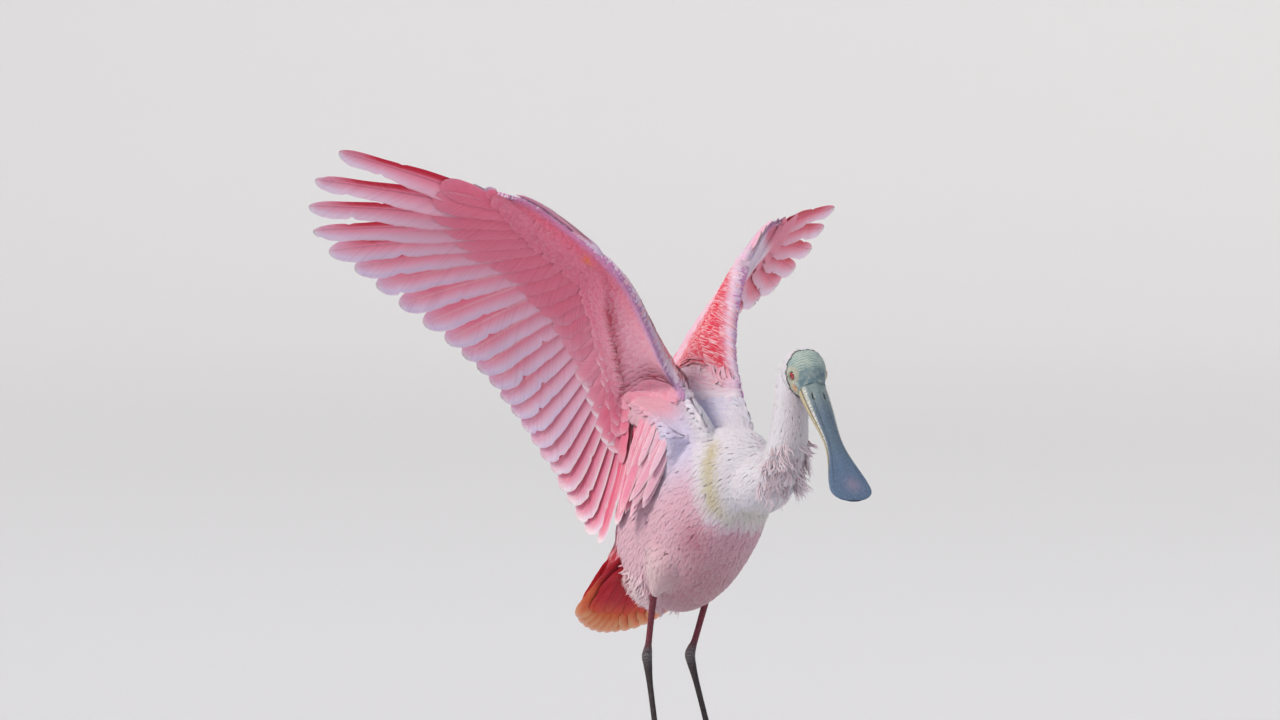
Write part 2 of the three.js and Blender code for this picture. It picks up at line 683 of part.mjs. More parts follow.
function buildAlula(name, plan, cutters) {
  const stations = THUMB.map(([i, behind, above, radius]) => {
    const { front, chord, flat } = plan.section(i);
    return [front.clone().addScaledVector(chord, behind).addScaledVector(flat, above), radius, radius];
  });
  const whole = fuse([solid(limb(stations, 8)), ...ALULA_FEATHERS.map((feather) => alulaFeather(plan, feather))]);
  return part(`wing_${name}_alula`, less(whole, ...cutters), ROSE);
}

function buildWing(name) {
  const plan = wingPlan(SIDES[name], WINGS[name]);
  const half = GAP / 2;
  const firstTertial = PRIMARIES + SECONDARIES;
  const hand = [armBody(plan, -1.5, WRIST, 6, [0, -half]), ...feathers(plan, 0, PRIMARIES - 1)];
  const forearm = [armBody(plan, WRIST, ELBOW, 6, [half, -half]), ...feathers(plan, PRIMARIES, firstTertial - 1)];
  const upperArm = [
    armBody(plan, ELBOW, SUNK, 5, [half, 0]),
    ...feathers(plan, firstTertial, firstTertial + TERTIALS - 1),
  ];
  // The cutters come up to the neighbour's end face, and stop just short of it.
  const nearly = half - 0.9 * GAP;
  const handCutter = armBody(plan, -1.5, WRIST, 6, [0, -nearly], GAP);
  const forearmCutter = armBody(plan, WRIST, ELBOW, 6, [nearly, -nearly], GAP);
  const upperCutter = armBody(plan, ELBOW, SUNK, 5, [nearly, 0], GAP);
  return [
    part(`wing_${name}_hand`, fuse(hand), ROSE),
    part(`wing_${name}_forearm`, less(fuse(forearm), upperCutter), ROSE),
    part(`wing_${name}_upper_arm`, less(fuse(upperArm), torsoCutter, forearmCutter), CARMINE),
    buildAlula(name, plan, [handCutter, forearmCutter]),
  ];
}

// Tail: a fan of twelve feathers with rows of coverts over and under their roots.
const TAIL_ROOT = [-72, 0, 226];
const TAIL_DROOP = THREE.MathUtils.degToRad(63);
const TAIL_SPREAD = THREE.MathUtils.degToRad(28); // half the fan
const TAIL_BODY = [
  [-70, 0, 236, 25, 21],
  [-90, 0, 206, 32, 16],
  [-105, 0, 177, 30, 8.5],
  [-112, 0, 162, 23, 3.5],
];
const TAIL_FEATHER = { width: 26, layer: 1.05, spacing: 3 };
const TAIL_COVERTS = { count: 6, start: 18, share: 0.54, root: 9, tip: 6.6, width: 26, stagger: 1.2 };

function buildTail() {
  const middle = (RECTRICES - 1) / 2;
  const axis = [-Math.cos(TAIL_DROOP), 0, -Math.sin(TAIL_DROOP)];
  const way = (j) => {
    const turn = (TAIL_SPREAD * (j - middle)) / middle;
    return [axis[0] * Math.cos(turn), -Math.sin(turn), axis[2] * Math.cos(turn)];
  };
  const root = (j) => shift(TAIL_ROOT, [0, -(j - middle) * TAIL_FEATHER.spacing, 0]);
  const frameAt = sheet(LEFT, { root, way });
  // The middle pair lies uppermost, and each feather further out lies under the one within it.
  const order = (j) => 2 * Math.abs(j - middle) - (j < middle ? 1 : 0);
  const pieces = [solid(limb(stationsOf(TAIL_BODY), 14))];
  for (let j = 0; j < RECTRICES; j++) {
    const layer = (middle - order(j)) * TAIL_FEATHER.layer;
    pieces.push(vane(frameAt, j, {
      length: TAIL_LENGTH * (1 - 0.004 * (j - middle) ** 2),
      lead: TAIL_FEATHER.width / 2,
      trail: TAIL_FEATHER.width / 2,
      outline: FLIGHT_OUTLINE,
      lift: (share) => layer * (1 - 0.45 * share),
      thick: VANE_THICKNESS,
      tilt: 0,
    }));
  }
  const { count, start, share, root: rootLift, tip: tipLift, width, stagger } = TAIL_COVERTS;
  for (let n = 0; n < count; n++) {
    const j = 0.6 + ((RECTRICES - 2.2) * n) / (count - 1);
    for (const face of [1, -1]) {
      pieces.push(vane(frameAt, j, {
        start,
        length: TAIL_LENGTH * share,
        lead: width / 2,
        trail: width / 2,
        outline: COVERT_OUTLINE,
        lift: (far) => face * (rootLift + (n % 2) * stagger + (tipLift - rootLift) * far),
        thick: COVERT_THICKNESS,
        tilt: 0,
      }));
    }
  }
  return part("tail", less(fuse(pieces), torsoCutter), ORANGE);
}

// Legs: a feathered thigh, a bare shank, the tarsus below the heel, and a foot of four toes.
const THIGH_ROWS = [
  [18, 26, 246, 20, 27],
  [13, 37, 216, 20.5, 27],
  [4, 39.5, 196, 13, 17],
  [-6, 38, 177, 5.4, 6],
];
const SHANK_ROWS = [
  [-6, 38, 177, 4, 4],
  [-10, 37, 168, 3.6, 3.8],
  [-22, 32.4, 128, 3.3, 3.6],
  [-26, 30.6, 117, 4.6, 5.2],
  [-28, 30, 110, 5.4, 6.2],
];
const TARSUS_ROWS = [
  [-28, 30, 110, 5.4, 6.2],
  [-26, 30.4, 101, 4.6, 5],
  [-20, 32.4, 80, 3.1, 3.6],
  [-7, 36, 36, 3, 3.4],
  [-2, 37.4, 20, 4, 4.4],
];
const FOOT_CENTRE = [0, 38, 6.5];
const ANKLE = [-2, 37.4, 20, 4, 4.4];
const TOES = [
  // [turn outwards in degrees, share of the middle toe]
  [-27, 0.76],
  [2, 1],
  [32, 0.84],
  [170, 0.46],
];
const TOE_SECTION = [
  [-1, -1], [-1.25, -0.2], [-0.85, 0.7], [0, 1], [0.85, 0.7], [1.25, -0.2], [1, -1],
];
const TOE_STATIONS = [[-0.02, 1.12], [0.1, 1.05], [0.36, 0.86], [0.42, 0.98], [0.66, 0.74], [0.72, 0.86], [0.97, 0.6]];
const TOE_HALF_HEIGHT = 4.2;
const TOE_HALF_WIDTH = 3;
const CLAW_LENGTH = 12;

// Each toe is flat beneath, so that the foot stands on its pads.
function toe(centre, way, across, length) {
  const rings = TOE_STATIONS.map(([share, size]) => {
    const middle = centre.clone().addScaledVector(way, share * length);
    const tall = TOE_HALF_HEIGHT * size;
    return TOE_SECTION.map(([x, z]) =>
      middle.clone().addScaledVector(across, x * TOE_HALF_WIDTH * size).setZ(tall * (1 + z)),
    );
  });
  return solid(loft(rings));
}

function claw(tip, way, across) {
  const rings = [[GAP, 1, 0], [CLAW_LENGTH * 0.4, 0.85, 0.2], [CLAW_LENGTH * 0.75, 0.5, -0.3], [CLAW_LENGTH, 0.16, -1.3]]
    .map(([far, size, rise]) => {
      const middle = tip.clone().addScaledVector(way, far).setZ(2.6 + rise);
      return ellipse(middle, across, new THREE.Vector3(0, 0, 1), 1.7 * size, 2 * size, 6);
    });
  return solid(loft(rings));
}

// The webs between the front toes reach a fifth of the way along them.
function web(centre, ways, lengths) {
  const rim = (z) => [
    centre.clone().setZ(z),
    ...ways.flatMap((way, n) => {
      const edge = centre.clone().addScaledVector(way, lengths[n] * 0.3).setZ(z);
      if (n === 0) return [edge];
      const between = way.clone().add(ways[n - 1]).normalize();
      return [centre.clone().addScaledVector(between, lengths[n] * 0.2).setZ(z), edge];
    }),
  ];
  return solid(loft([rim(1), rim(3)]));
}

function buildLeg(name) {
  const side = SIDES[name];
  const thigh = less(solid(limb(stationsOf(THIGH_ROWS, side), 14)), torsoCutter);
  const shankStations = stationsOf(SHANK_ROWS, side);
  const tarsusStations = stationsOf(TARSUS_ROWS, side);
  const shank = less(solid(limb(shankStations, 10)), solid(limb(stationsOf(THIGH_ROWS, side), 14, GAP)), torsoCutter);
  const heelCutter = solid(limb(shankStations, 10, GAP));
  const centre = at(FOOT_CENTRE, side);
  const ways = TOES.map(([degrees]) => {
    const turn = THREE.MathUtils.degToRad(degrees);
    return at([Math.cos(turn), Math.sin(turn), 0], side);
  });
  const lengths = TOES.map(([, share]) => share * TOE_LENGTH);
  const across = ways.map((way) => new THREE.Vector3(-way.y, way.x, 0));
  const toes = ways.map((way, n) => toe(centre, way, across[n], lengths[n]));
  const ankle = solid(limb(stationsOf([ANKLE, [0, 38, 4, 5.4, 5.6]], side), 10));
  const foot = fuse([ankle, ...toes, web(centre, ways.slice(0, 3), lengths)]);
  const footCutter = solid(limb(stationsOf([[-2.2, 37.4, 20 + GAP, 6, 6], [0, 38, 4, 6, 6]], side), 10));
  const claws = ways.map((way, n) => {
    const tip = centre.clone().addScaledVector(way, lengths[n] * TOE_STATIONS.at(-1)[0]);
    return part(`claw_${name}_${n + 1}`, claw(tip, way, across[n]), CLAW_HORN);
  });
  return [
    part(`thigh_${name}`, thigh, PALE_PINK),
    part(`shank_${name}`, shank, LEG_SKIN),
    part(`tarsus_${name}`, less(solid(limb(tarsusStations, 10)), heelCutter, footCutter), LEG_SKIN),
    part(`foot_${name}`, foot, TOE_SKIN),
    ...claws,
  ];
}

const bird = new THREE.Group();
bird.add(part("torso", torso, PALE_PINK), ...buildNeck(), buildHead(), buildTail());
for (const name of Object.keys(SIDES)) bird.add(...buildWing(name), ...buildLeg(name));

const box = new THREE.Box3().setFromObject(bird, true);
const middle = box.getCenter(new THREE.Vector3());
bird.position.set(-middle.x, -middle.y, -box.min.z);

export default bird;
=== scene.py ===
"""A roseate spoonbill, life size, standing with both wings raised, as a museum model.

A place is given in millimetres as [forwards, outwards, up] from the floor midway between the
feet, with the side it is on. Meshes are turned into metres as they are made.
"""

import math

import bpy
import numpy as np
from mathutils import Matrix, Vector
from mathutils.bvhtree import BVHTree


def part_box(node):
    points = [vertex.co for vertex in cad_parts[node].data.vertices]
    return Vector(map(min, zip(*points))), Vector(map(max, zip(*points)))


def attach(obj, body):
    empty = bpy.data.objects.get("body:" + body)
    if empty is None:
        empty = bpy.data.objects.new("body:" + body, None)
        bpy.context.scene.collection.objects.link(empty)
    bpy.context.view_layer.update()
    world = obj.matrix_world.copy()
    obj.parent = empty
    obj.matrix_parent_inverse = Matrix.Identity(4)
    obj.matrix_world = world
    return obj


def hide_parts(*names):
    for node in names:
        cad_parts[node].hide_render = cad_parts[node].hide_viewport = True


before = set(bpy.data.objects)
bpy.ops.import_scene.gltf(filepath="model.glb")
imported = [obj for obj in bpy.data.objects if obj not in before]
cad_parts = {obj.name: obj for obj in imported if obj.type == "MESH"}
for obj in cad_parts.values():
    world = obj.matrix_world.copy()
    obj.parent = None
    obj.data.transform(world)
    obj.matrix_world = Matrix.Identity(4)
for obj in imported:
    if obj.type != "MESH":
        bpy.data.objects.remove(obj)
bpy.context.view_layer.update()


# The body's skin. The bird has thin skin over its breast, neck, thighs and tail root. It is lofted
# through rings, lies under the feathers by the depth of the coat, and is fused into one surface.
MM = 0.001
RIGHT, LEFT = -1, 1
SIDES = {"right": RIGHT, "left": LEFT}
SIDEWAYS, UPWARD = np.array([1.0, 0.0, 0.0]), np.array([0.0, 0.0, 1.0])


def at(place, side=LEFT):
    forward, out, up = np.moveaxis(np.asarray(place, float), -1, 0)
    return np.stack([side * out, -forward, up], -1)


def unit(v):
    return v / np.linalg.norm(v, axis=-1, keepdims=True)


def track(keys):
    """A smooth value through (index, numbers) keys, which runs on straight beyond them."""
    index, value = (np.array(some, float) for some in zip(*keys))
    order = np.arange(len(index))
    before, after = np.maximum(order - 1, 0), np.minimum(order + 1, len(index) - 1)
    slope = (value[after] - value[before]) / (index[after] - index[before])[:, None]

    def read(wanted):
        wanted = np.asarray(wanted, float)
        n = np.clip(np.searchsorted(index, wanted, side="right") - 1, 0, len(index) - 2)
        inside = np.clip(wanted, index[0], index[-1])
        width = (index[n + 1] - index[n])[..., None]
        t = (inside - index[n])[..., None] / width
        hold = t * t * (3 - 2 * t)
        leave = t * (1 - t) ** 2 * width * slope[n]
        reach = t * t * (1 - t) * width * slope[n + 1]
        end = np.where((wanted > inside)[..., None], slope[-1], slope[0])
        beyond = (wanted - inside)[..., None] * end
        return value[n] * (1 - hold) + value[n + 1] * hold + leave - reach + beyond

    return read


HEAD_PLACE = at([205, 0, 398])
HEAD_YAW = math.radians(-18.5)
BILL_DROOP = math.radians(41.5)
HEAD_TURN = np.array(Matrix.Rotation(HEAD_YAW, 3, "Z") @ Matrix.Rotation(BILL_DROOP, 3, "X"))
EYE_PLACE = [-16.5, 15, 6.5]


def from_head(points):
    return points @ HEAD_TURN.T + HEAD_PLACE


def into_head(points):
    """Places in the head's own frame, as forwards, outwards and up."""
    x, y, z = np.moveaxis((points - HEAD_PLACE) @ HEAD_TURN, -1, 0)
    return -y, np.abs(x), z


eye_low, eye_high = (np.array(corner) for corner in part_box("eye_left"))
SHIFT = (eye_low + eye_high) / 2 / MM - from_head(at(EYE_PLACE))

TORSO_RINGS = [
    # back forwards, back up, belly forwards, belly up, half width
    [-104, 238, -92, 214, 8],
    [-98, 258, -68, 184, 26],
    [-76, 286, -40, 162, 40],
    [-38, 318, -1, 156, 48],
    [8, 342, 37, 171, 55.5],
    [50, 356, 68, 199, 54],
    [86, 360, 96, 234, 44],
    [110, 352, 115, 268, 32],
    [131, 334, 133, 300, 13],
]
torso_ring = track(enumerate(TORSO_RINGS))


def torso(k, turn, grow=0.0):
    back_forward, back_up, belly_forward, belly_up, half = np.moveaxis(torso_ring(k), -1, 0)
    none = np.zeros_like(half)
    back = at(np.stack([back_forward, none, back_up], -1))
    belly = at(np.stack([belly_forward, none, belly_up], -1))
    upward = unit(back - belly)
    deep = np.linalg.norm(back - belly, axis=-1) / 2
    wide = ((half + grow) * np.cos(turn))[..., None] * SIDEWAYS
    return (back + belly) / 2 + wide + ((deep + grow) * np.sin(turn))[..., None] * upward


def limb(rows, side=LEFT):
    """A round limb through rows of [forwards, outwards, up, half width, half depth]."""
    shape = track(enumerate(rows))

    def point(k, turn, grow=0.0):
        row = shape(k)
        ahead, behind = shape(np.asarray(k) + 0.02), shape(np.asarray(k) - 0.02)
        along = unit(at(ahead[..., :3] - behind[..., :3], side))
        across = unit(SIDEWAYS - along * along[..., :1])
        upward = np.cross(along, across)
        wide = ((row[..., 3] + grow) * np.cos(turn))[..., None] * across
        deep = ((row[..., 4] + grow) * np.sin(turn))[..., None] * upward
        return at(row[..., :3], side) + wide + deep

    return point


NECK_ROWS = [
    [92, 0, 300, 25, 27],
    [120, 0, 297, 33, 34],
    [143, 0, 304, 28, 27],
    [158, 0, 321, 25.4, 24],
    [166, 1, 343, 23.5, 22.5],
    [167, 3, 366, 21.8, 21.2],
    [167, 5, 388, 21, 21],
    [167, 8, 408, 21.5, 21],
    [173, 10, 426, 17, 16],
]
THIGH_ROWS = [
    [18, 26, 246, 20, 27],
    [13, 37, 216, 20.5, 27],
    [4, 39.5, 196, 13, 17],
    [-6, 38, 177, 5.4, 6],
]
TAIL_BODY = [
    [-70, 0, 236, 25, 21],
    [-90, 0, 206, 32, 16],
    [-105, 0, 177, 30, 8.5],
    [-112, 0, 162, 23, 3.5],
]
COAT = {"torso": 4.5, "neck": 3.5, "thigh": 3.0, "tail": 2.0, "arm": 2.5}
neck = limb(NECK_ROWS)
tail_body = limb(TAIL_BODY)
thighs = {name: limb(THIGH_ROWS, side) for name, side in SIDES.items()}


def grid_faces(rows, ring):
    """Quads over rings of points, and a face over each end."""
    k, j = np.meshgrid(np.arange(rows - 1), np.arange(ring), indexing="ij")
    start, following = (k * ring + j).ravel(), (k * ring + (j + 1) % ring).ravel()
    quads = np.stack([start, following, following + ring, start + ring], -1)
    first = np.arange(ring)[None, ::-1]
    return [quads, np.concatenate([first, first[:, ::-1] + (rows - 1) * ring])]


def rings(places, ring):
    """Places along a form, and the turns of the points in a ring at each of them."""
    return np.meshgrid(places, np.arange(ring) / ring * 2 * np.pi, indexing="ij")


def shell(point, last, rows, ring, grow=0.0):
    k, turn = rings(np.linspace(0, last, rows), ring)
    return point(k, turn, grow).reshape(-1, 3), grid_faces(rows, ring)


def volume(points, faces):
    """Six times the space inside closed faces, below 0 where they look inwards."""
    total = 0.0
    for group in faces:
        first = points[group[:, 0]]
        for n in range(1, group.shape[1] - 1):
            total += np.einsum("ij,ij->", first, np.cross(points[group[:, n]], points[group[:, n + 1]]))
    return total


def outwards(points, faces):
    """The faces, turned about if they look inwards."""
    return faces if volume(points, faces) > 0 else [group[:, ::-1] for group in faces]


def joined(shells):
    points, faces, start = [], [], 0
    for some, groups in shells:
        faces += [group + start for group in outwards(some, groups)]
        points.append(some)
        start += len(some)
    return np.concatenate(points), faces


def mesh_of(name, points, faces):
    mesh = bpy.data.meshes.new(name)
    mesh.vertices.add(len(points))
    mesh.vertices.foreach_set("co", ((points + SHIFT) * MM).ravel())
    corners = np.concatenate([group.ravel() for group in faces])
    counts = np.concatenate([np.full(len(group), group.shape[1]) for group in faces])
    mesh.loops.add(len(corners))
    mesh.loops.foreach_set("vertex_index", corners)
    mesh.polygons.add(len(counts))
    mesh.polygons.foreach_set("loop_start", np.cumsum(counts) - counts)
    mesh.update(calc_edges=True)
    mesh.shade_smooth()
    return mesh


def placed(name, data):
    """A new object in the scene."""
    made = bpy.data.objects.new(name, data)
    bpy.context.scene.collection.objects.link(made)
    return made


def fused(shells, voxel, rounds):
    """One smooth surface round some shells, as points and quads."""
    points, faces = joined(shells)
    piece = placed("fusing", mesh_of("fusing", points, faces))
    remesh = piece.modifiers.new("voxels", "REMESH")
    remesh.mode = "VOXEL"
    remesh.voxel_size = voxel * MM
    smooth = piece.modifiers.new("smooth", "SMOOTH")
    smooth.factor = 0.5
    smooth.iterations = rounds
    made = piece.evaluated_get(bpy.context.evaluated_depsgraph_get()).to_mesh()
    co = np.empty(len(made.vertices) * 3)
    made.vertices.foreach_get("co", co)
    corners = np.empty(len(made.loops), int)
    made.loops.foreach_get("vertex_index", corners)
    quads = corners.reshape(-1, 4)
    bpy.data.objects.remove(piece)
    return co.reshape(-1, 3) / MM - SHIFT, [quads]


# The wings' arms. Each wing is a thin arm of three lengths with a web of skin before it, and its
# flight feathers stand in a row behind it, numbered inwards from the tip. A wing gives the places
# on that sheet of feathers, and on the rounded arm over and under it.
WING_CHORD = 350
PRIMARIES, SECONDARIES, TERTIALS = 10, 13, 4
FLIGHTS = PRIMARIES + SECONDARIES + TERTIALS
WRIST = PRIMARIES - 0.5
ELBOW = WRIST + SECONDARIES
ROOT = ELBOW + TERTIALS + 0.5
SUNK = ROOT + 4
PAST_TIP = -1.5
SHOULDER = [62, 46, 342]
HUMERUS_SHARE = 0.4
INNER_NOSE = [
    (15, [12, 60, 457]), (19, [25, 50, 420]), (ELBOW, [42, 42, 396]), (ROOT, [73, 33, 358]),
    (SUNK, [88, 22, 300]),
]
INNER_WAYS = [(24, [-0.19, 0.09, -0.975]), (ROOT, [-0.03, 0.2, -0.98]), (SUNK, [-0.1, 0.05, -0.98])]
WINGS = {
    "right": {
        "elbow": [-57, 29, 388],
        "wrist": [-22, 94, 521],
        "fingertip": [-63, 177, 585],
        "outer_nose": [(WRIST, [-13, 97, 531]), (12, [2, 77, 500])],
        "outer_ways": [
            (0, [-0.446, 0.839, 0.312]), (1, [-0.521, 0.835, 0.178]), (3, [-0.643, 0.766, 0]),
            (6, [-0.786, 0.592, -0.18]), (9, [-0.852, 0.344, -0.394]), (13, [-0.825, 0.116, -0.553]),
            (18, [-0.645, 0.011, -0.765]), (22, [-0.39, 0.007, -0.92]),
        ],
    },
    "left": {
        "elbow": [-58, 29, 385],
        "wrist": [-24, 95, 512],
        "fingertip": [-66, 176, 556],
        "outer_nose": [(WRIST, [-15, 98, 524]), (12, [1, 76, 495])],
        "outer_ways": [
            (0, [-0.495, 0.86, 0.125]), (1, [-0.56, 0.828, 0.035]), (3, [-0.652, 0.75, -0.114]),
            (6, [-0.771, 0.573, -0.278]), (9, [-0.84, 0.37, -0.4]), (13, [-0.82, 0.14, -0.555]),
            (18, [-0.66, 0.02, -0.75]), (22, [-0.4, 0.01, -0.915]),
        ],
    },
}
FLIGHT_SHARES = [
    (0, [0.586]), (1, [0.656]), (3, [0.7]), (6, [0.622]), (9, [0.58]), (13, [0.53]), (18, [0.492]),
    (23, [0.471]), (24, [0.385]), (26, [0.27]),
]
FLIGHT_WIDTHS = [(0, [26]), (2, [31]), (5, [34]), (9, [34]), (15, [31]), (22, [28]), (26, [24])]
FLIGHT_BULGE = 6
ARM_DEPTHS = [
    (PAST_TIP, [5]), (0, [9]), (5, [13]), (WRIST, [17]), (16, [18]), (ELBOW, [24]), (ROOT, [32]),
    (SUNK, [30]),
]
ARM_WALLS = [(PAST_TIP, [2.8]), (0, [6]), (3, [6.4]), (SUNK, [6.8])]
ARM_REACHES = [
    (PAST_TIP, [20]), (0, [22]), (5, [26]), (WRIST, [28]), (ELBOW, [28]), (ROOT, [28]), (SUNK, [60]),
]
ARM_ARCH, ARM_ARCH_CHORD = 19, 80
EDGE_ROUND = 5.0
# The rise of the arm's front over its chord, as shares of the chord and of half the depth.
ARM_FRONT = np.array([
    [0, 0], [0.02, 0.28], [0.06, 0.5], [0.15, 0.76], [0.3, 0.95], [0.42, 1], [0.7, 0.97], [1, 0.9],
])


def number(keys):
    read = track(keys)
    return lambda index: read(index)[..., 0]


flight_share, flight_width = number(FLIGHT_SHARES), number(FLIGHT_WIDTHS)
arm_depth, arm_wall, arm_reach = number(ARM_DEPTHS), number(ARM_WALLS), number(ARM_REACHES)


def flight_length(i):
    return flight_share(i) * WING_CHORD


def arm_arch(share, long):
    """How far an arm's front of some length bends up at a share of it."""
    return ARM_ARCH * 4 * share * (1 - share) * np.minimum(1, long / ARM_ARCH_CHORD)


def ramp(value, low, high):
    """From 0 at low to 1 at high, without corners."""
    t = np.clip((value - low) / (high - low), 0, 1)
    return t * t * (3 - 2 * t)


class Wing:
    """One wing's sheet of feathers and the surface of its arm."""

    def __init__(self, side, elbow, wrist, fingertip, outer_nose, outer_ways):
        self.side = side
        middle_hand = (np.array(fingertip) + wrist) / 2
        humerus_end = np.array(elbow) + HUMERUS_SHARE * (np.array(SHOULDER) - elbow)
        keys = [
            (0, fingertip), (WRIST / 2, middle_hand), (WRIST, wrist),
            ((WRIST + ELBOW) / 2, (np.array(wrist) + elbow) / 2), (ELBOW, elbow), (ROOT, humerus_end),
        ]
        self.root_index = np.array([index for index, _ in keys])
        self.root_place = np.array([place for _, place in keys], float)
        self.way = track(outer_ways + INNER_WAYS)
        tip_way = self.way(0.0)
        self.nose = track([
            (PAST_TIP, fingertip + tip_way * 39 + [4, -2, 9]),
            (0, np.array(fingertip) + [4, -2, 13]),
            (WRIST / 2, middle_hand + [5, -1, 15]),
            *outer_nose, *INNER_NOSE,
        ])

    def spot(self, i, r):
        n = np.clip(np.searchsorted(self.root_index, i, side="right") - 1, 0, len(self.root_index) - 2)
        t = (i - self.root_index[n]) / (self.root_index[n + 1] - self.root_index[n])
        root = self.root_place[n] + (self.root_place[n + 1] - self.root_place[n]) * t[..., None]
        along = unit(at(self.way(i), self.side))
        return at(root, self.side) + along * r[..., None], along

    def frame(self, i, r, lift=0.0):
        """Middle of a shaft, and the ways along it, across it inwards and out of the wing's back."""
        i, r = np.broadcast_arrays(np.asarray(i, float), np.asarray(r, float))
        centre, along = self.spot(i, r)
        across = self.spot(i + 0.4, r)[0] - self.spot(i - 0.4, r)[0]
        across -= along * np.sum(across * along, -1, keepdims=True)
        spacing = np.linalg.norm(across, axis=-1) / 0.8
        across = unit(across)
        up = np.cross(along, across) * self.side
        share = r / flight_length(np.minimum(i, ELBOW))
        bulge = FLIGHT_BULGE * 4 * share * (1 - share)
        return centre + up * (lift + bulge)[..., None], along, across, up, spacing

    def section(self, i):
        front = at(self.nose(i), self.side)
        quill, _, _, quill_up, _ = self.frame(i, np.zeros_like(i))
        rear, rear_way, _, rear_up, _ = self.frame(i, arm_reach(i))
        chord = quill - front
        long = np.linalg.norm(chord, axis=-1)
        chord = unit(chord)
        flat = unit(quill_up - chord * np.sum(quill_up * chord, -1, keepdims=True))
        return front, chord, long, flat, rear, rear_way, rear_up

    def on_arm(self, i, m, face, lift=0.0):
        """A place m behind the front edge on the upper or under face, and the way out of the arm there.

        Below 0 the place is round the edge, on the other face.
        """
        i, m, lift = np.broadcast_arrays(*(np.asarray(v, float) for v in (i, m, lift)))
        face = np.where(m < 0, -face, face)
        m = np.abs(m)
        front, chord, long, flat, _, _, _ = self.section(i)
        share = np.clip(m / long, 0, 1)
        half = arm_depth(i) / 2
        round_edge = ramp(m, 0, EDGE_ROUND)
        rise = face * half * np.interp(share, *ARM_FRONT.T) + arm_arch(share, long)
        front_out = unit(flat * (face * round_edge)[..., None] - chord * (1 - round_edge)[..., None])
        on_front = front + chord * (share * long)[..., None] + flat * rise[..., None]
        on_front = on_front + front_out * lift[..., None]
        behind = np.maximum(m - long, 0)
        reach = arm_reach(i)
        back = ramp(behind, 0, reach)
        wall = arm_wall(i) * (1 - 0.72 * ramp(behind, reach, reach + 70))
        thick = face * (0.9 * half * (1 - back) + wall * back + lift)
        centre, _, _, up, _ = self.frame(i, behind)
        back_out = unit(flat * (1 - back)[..., None] + up * back[..., None])
        ahead = (m < long)[..., None]
        place = np.where(ahead, on_front, centre + back_out * thick[..., None])
        return place, np.where(ahead, front_out, back_out * face[..., None])


wings = {name: Wing(SIDES[name], **WINGS[name]) for name in SIDES}

# The skin of each arm, wedge-shaped in section, and its thumb.
ARM_START, ARM_RINGS, ARM_SIDES = -1.3, 90, 13
ARM_SECTION = [(0.08, 0.6), (0.22, 0.85), (0.42, 1), (0.7, 0.97), (1, 0.9)]
THINNEST_ARM, THINNEST_WALL = 1.5, 1.2
THUMB = [
    # number along the wing, behind the front edge, above the chord, radius
    [9.2, 8, 2, 4], [8.2, 0, 3, 5], [6.8, -2.5, 2.5, 4], [5.6, -3.5, 2, 1.5],
]


def arm_shell(wing):
    i = np.linspace(ARM_START, SUNK, ARM_RINGS)
    front, chord, long, flat, rear, rear_way, rear_up = wing.section(i)
    deep = np.maximum(arm_depth(i) / 2 - COAT["arm"], THINNEST_ARM)
    wall = np.maximum(arm_wall(i) - COAT["arm"], THINNEST_WALL)
    rear = rear - rear_way * COAT["arm"]
    ring = [front + chord * COAT["arm"]]
    for face in (1, -1):
        some = []
        for share, height in ARM_SECTION:
            rise = face * height * deep + arm_arch(share, long)
            some.append(front + chord * (share * long)[:, None] + flat * rise[:, None])
        some.append(rear + rear_up * (face * wall)[:, None])
        ring += some if face > 0 else some[::-1]
    return np.stack(ring, 1).reshape(-1, 3), grid_faces(ARM_RINGS, ARM_SIDES)


def thumb_shell(wing, rings=24, ring=12):
    k = np.linspace(0, 3, rings)
    i, behind, above, radius = track(enumerate(THUMB))(k).T
    front, chord, _, flat, _, _, _ = wing.section(i)
    centre = front + chord * behind[:, None] + flat * above[:, None]
    along = unit(np.gradient(centre, axis=0))
    across = unit(np.cross(along, flat))
    upward = np.cross(along, across)
    turn = np.arange(ring) / ring * 2 * np.pi
    sweep = across[:, None] * np.cos(turn)[:, None] + upward[:, None] * np.sin(turn)[:, None]
    return (centre[:, None] + sweep * radius[:, None, None]).reshape(-1, 3), grid_faces(rings, ring)


BODY_VOXEL, BODY_ROUNDS = 2.6, 10
# Two arms follow the trunk, neck, tail root and thighs in the list of shells.
FIRST_ARM = 5
body_shells = [
    shell(torso, len(TORSO_RINGS) - 1, 60, 40, -COAT["torso"]),
    shell(neck, len(NECK_ROWS) - 1, 60, 32, -COAT["neck"]),
    shell(tail_body, len(TAIL_BODY) - 1, 24, 28, -COAT["tail"]),
    *(shell(thigh, len(THIGH_ROWS) - 1, 30, 28, -COAT["thigh"]) for thigh in thighs.values()),
    *(arm_shell(wing) for wing in wings.values()),
    *(thumb_shell(wing) for wing in wings.values()),
]
body_points, body_faces = fused(body_shells, BODY_VOXEL, BODY_ROUNDS)


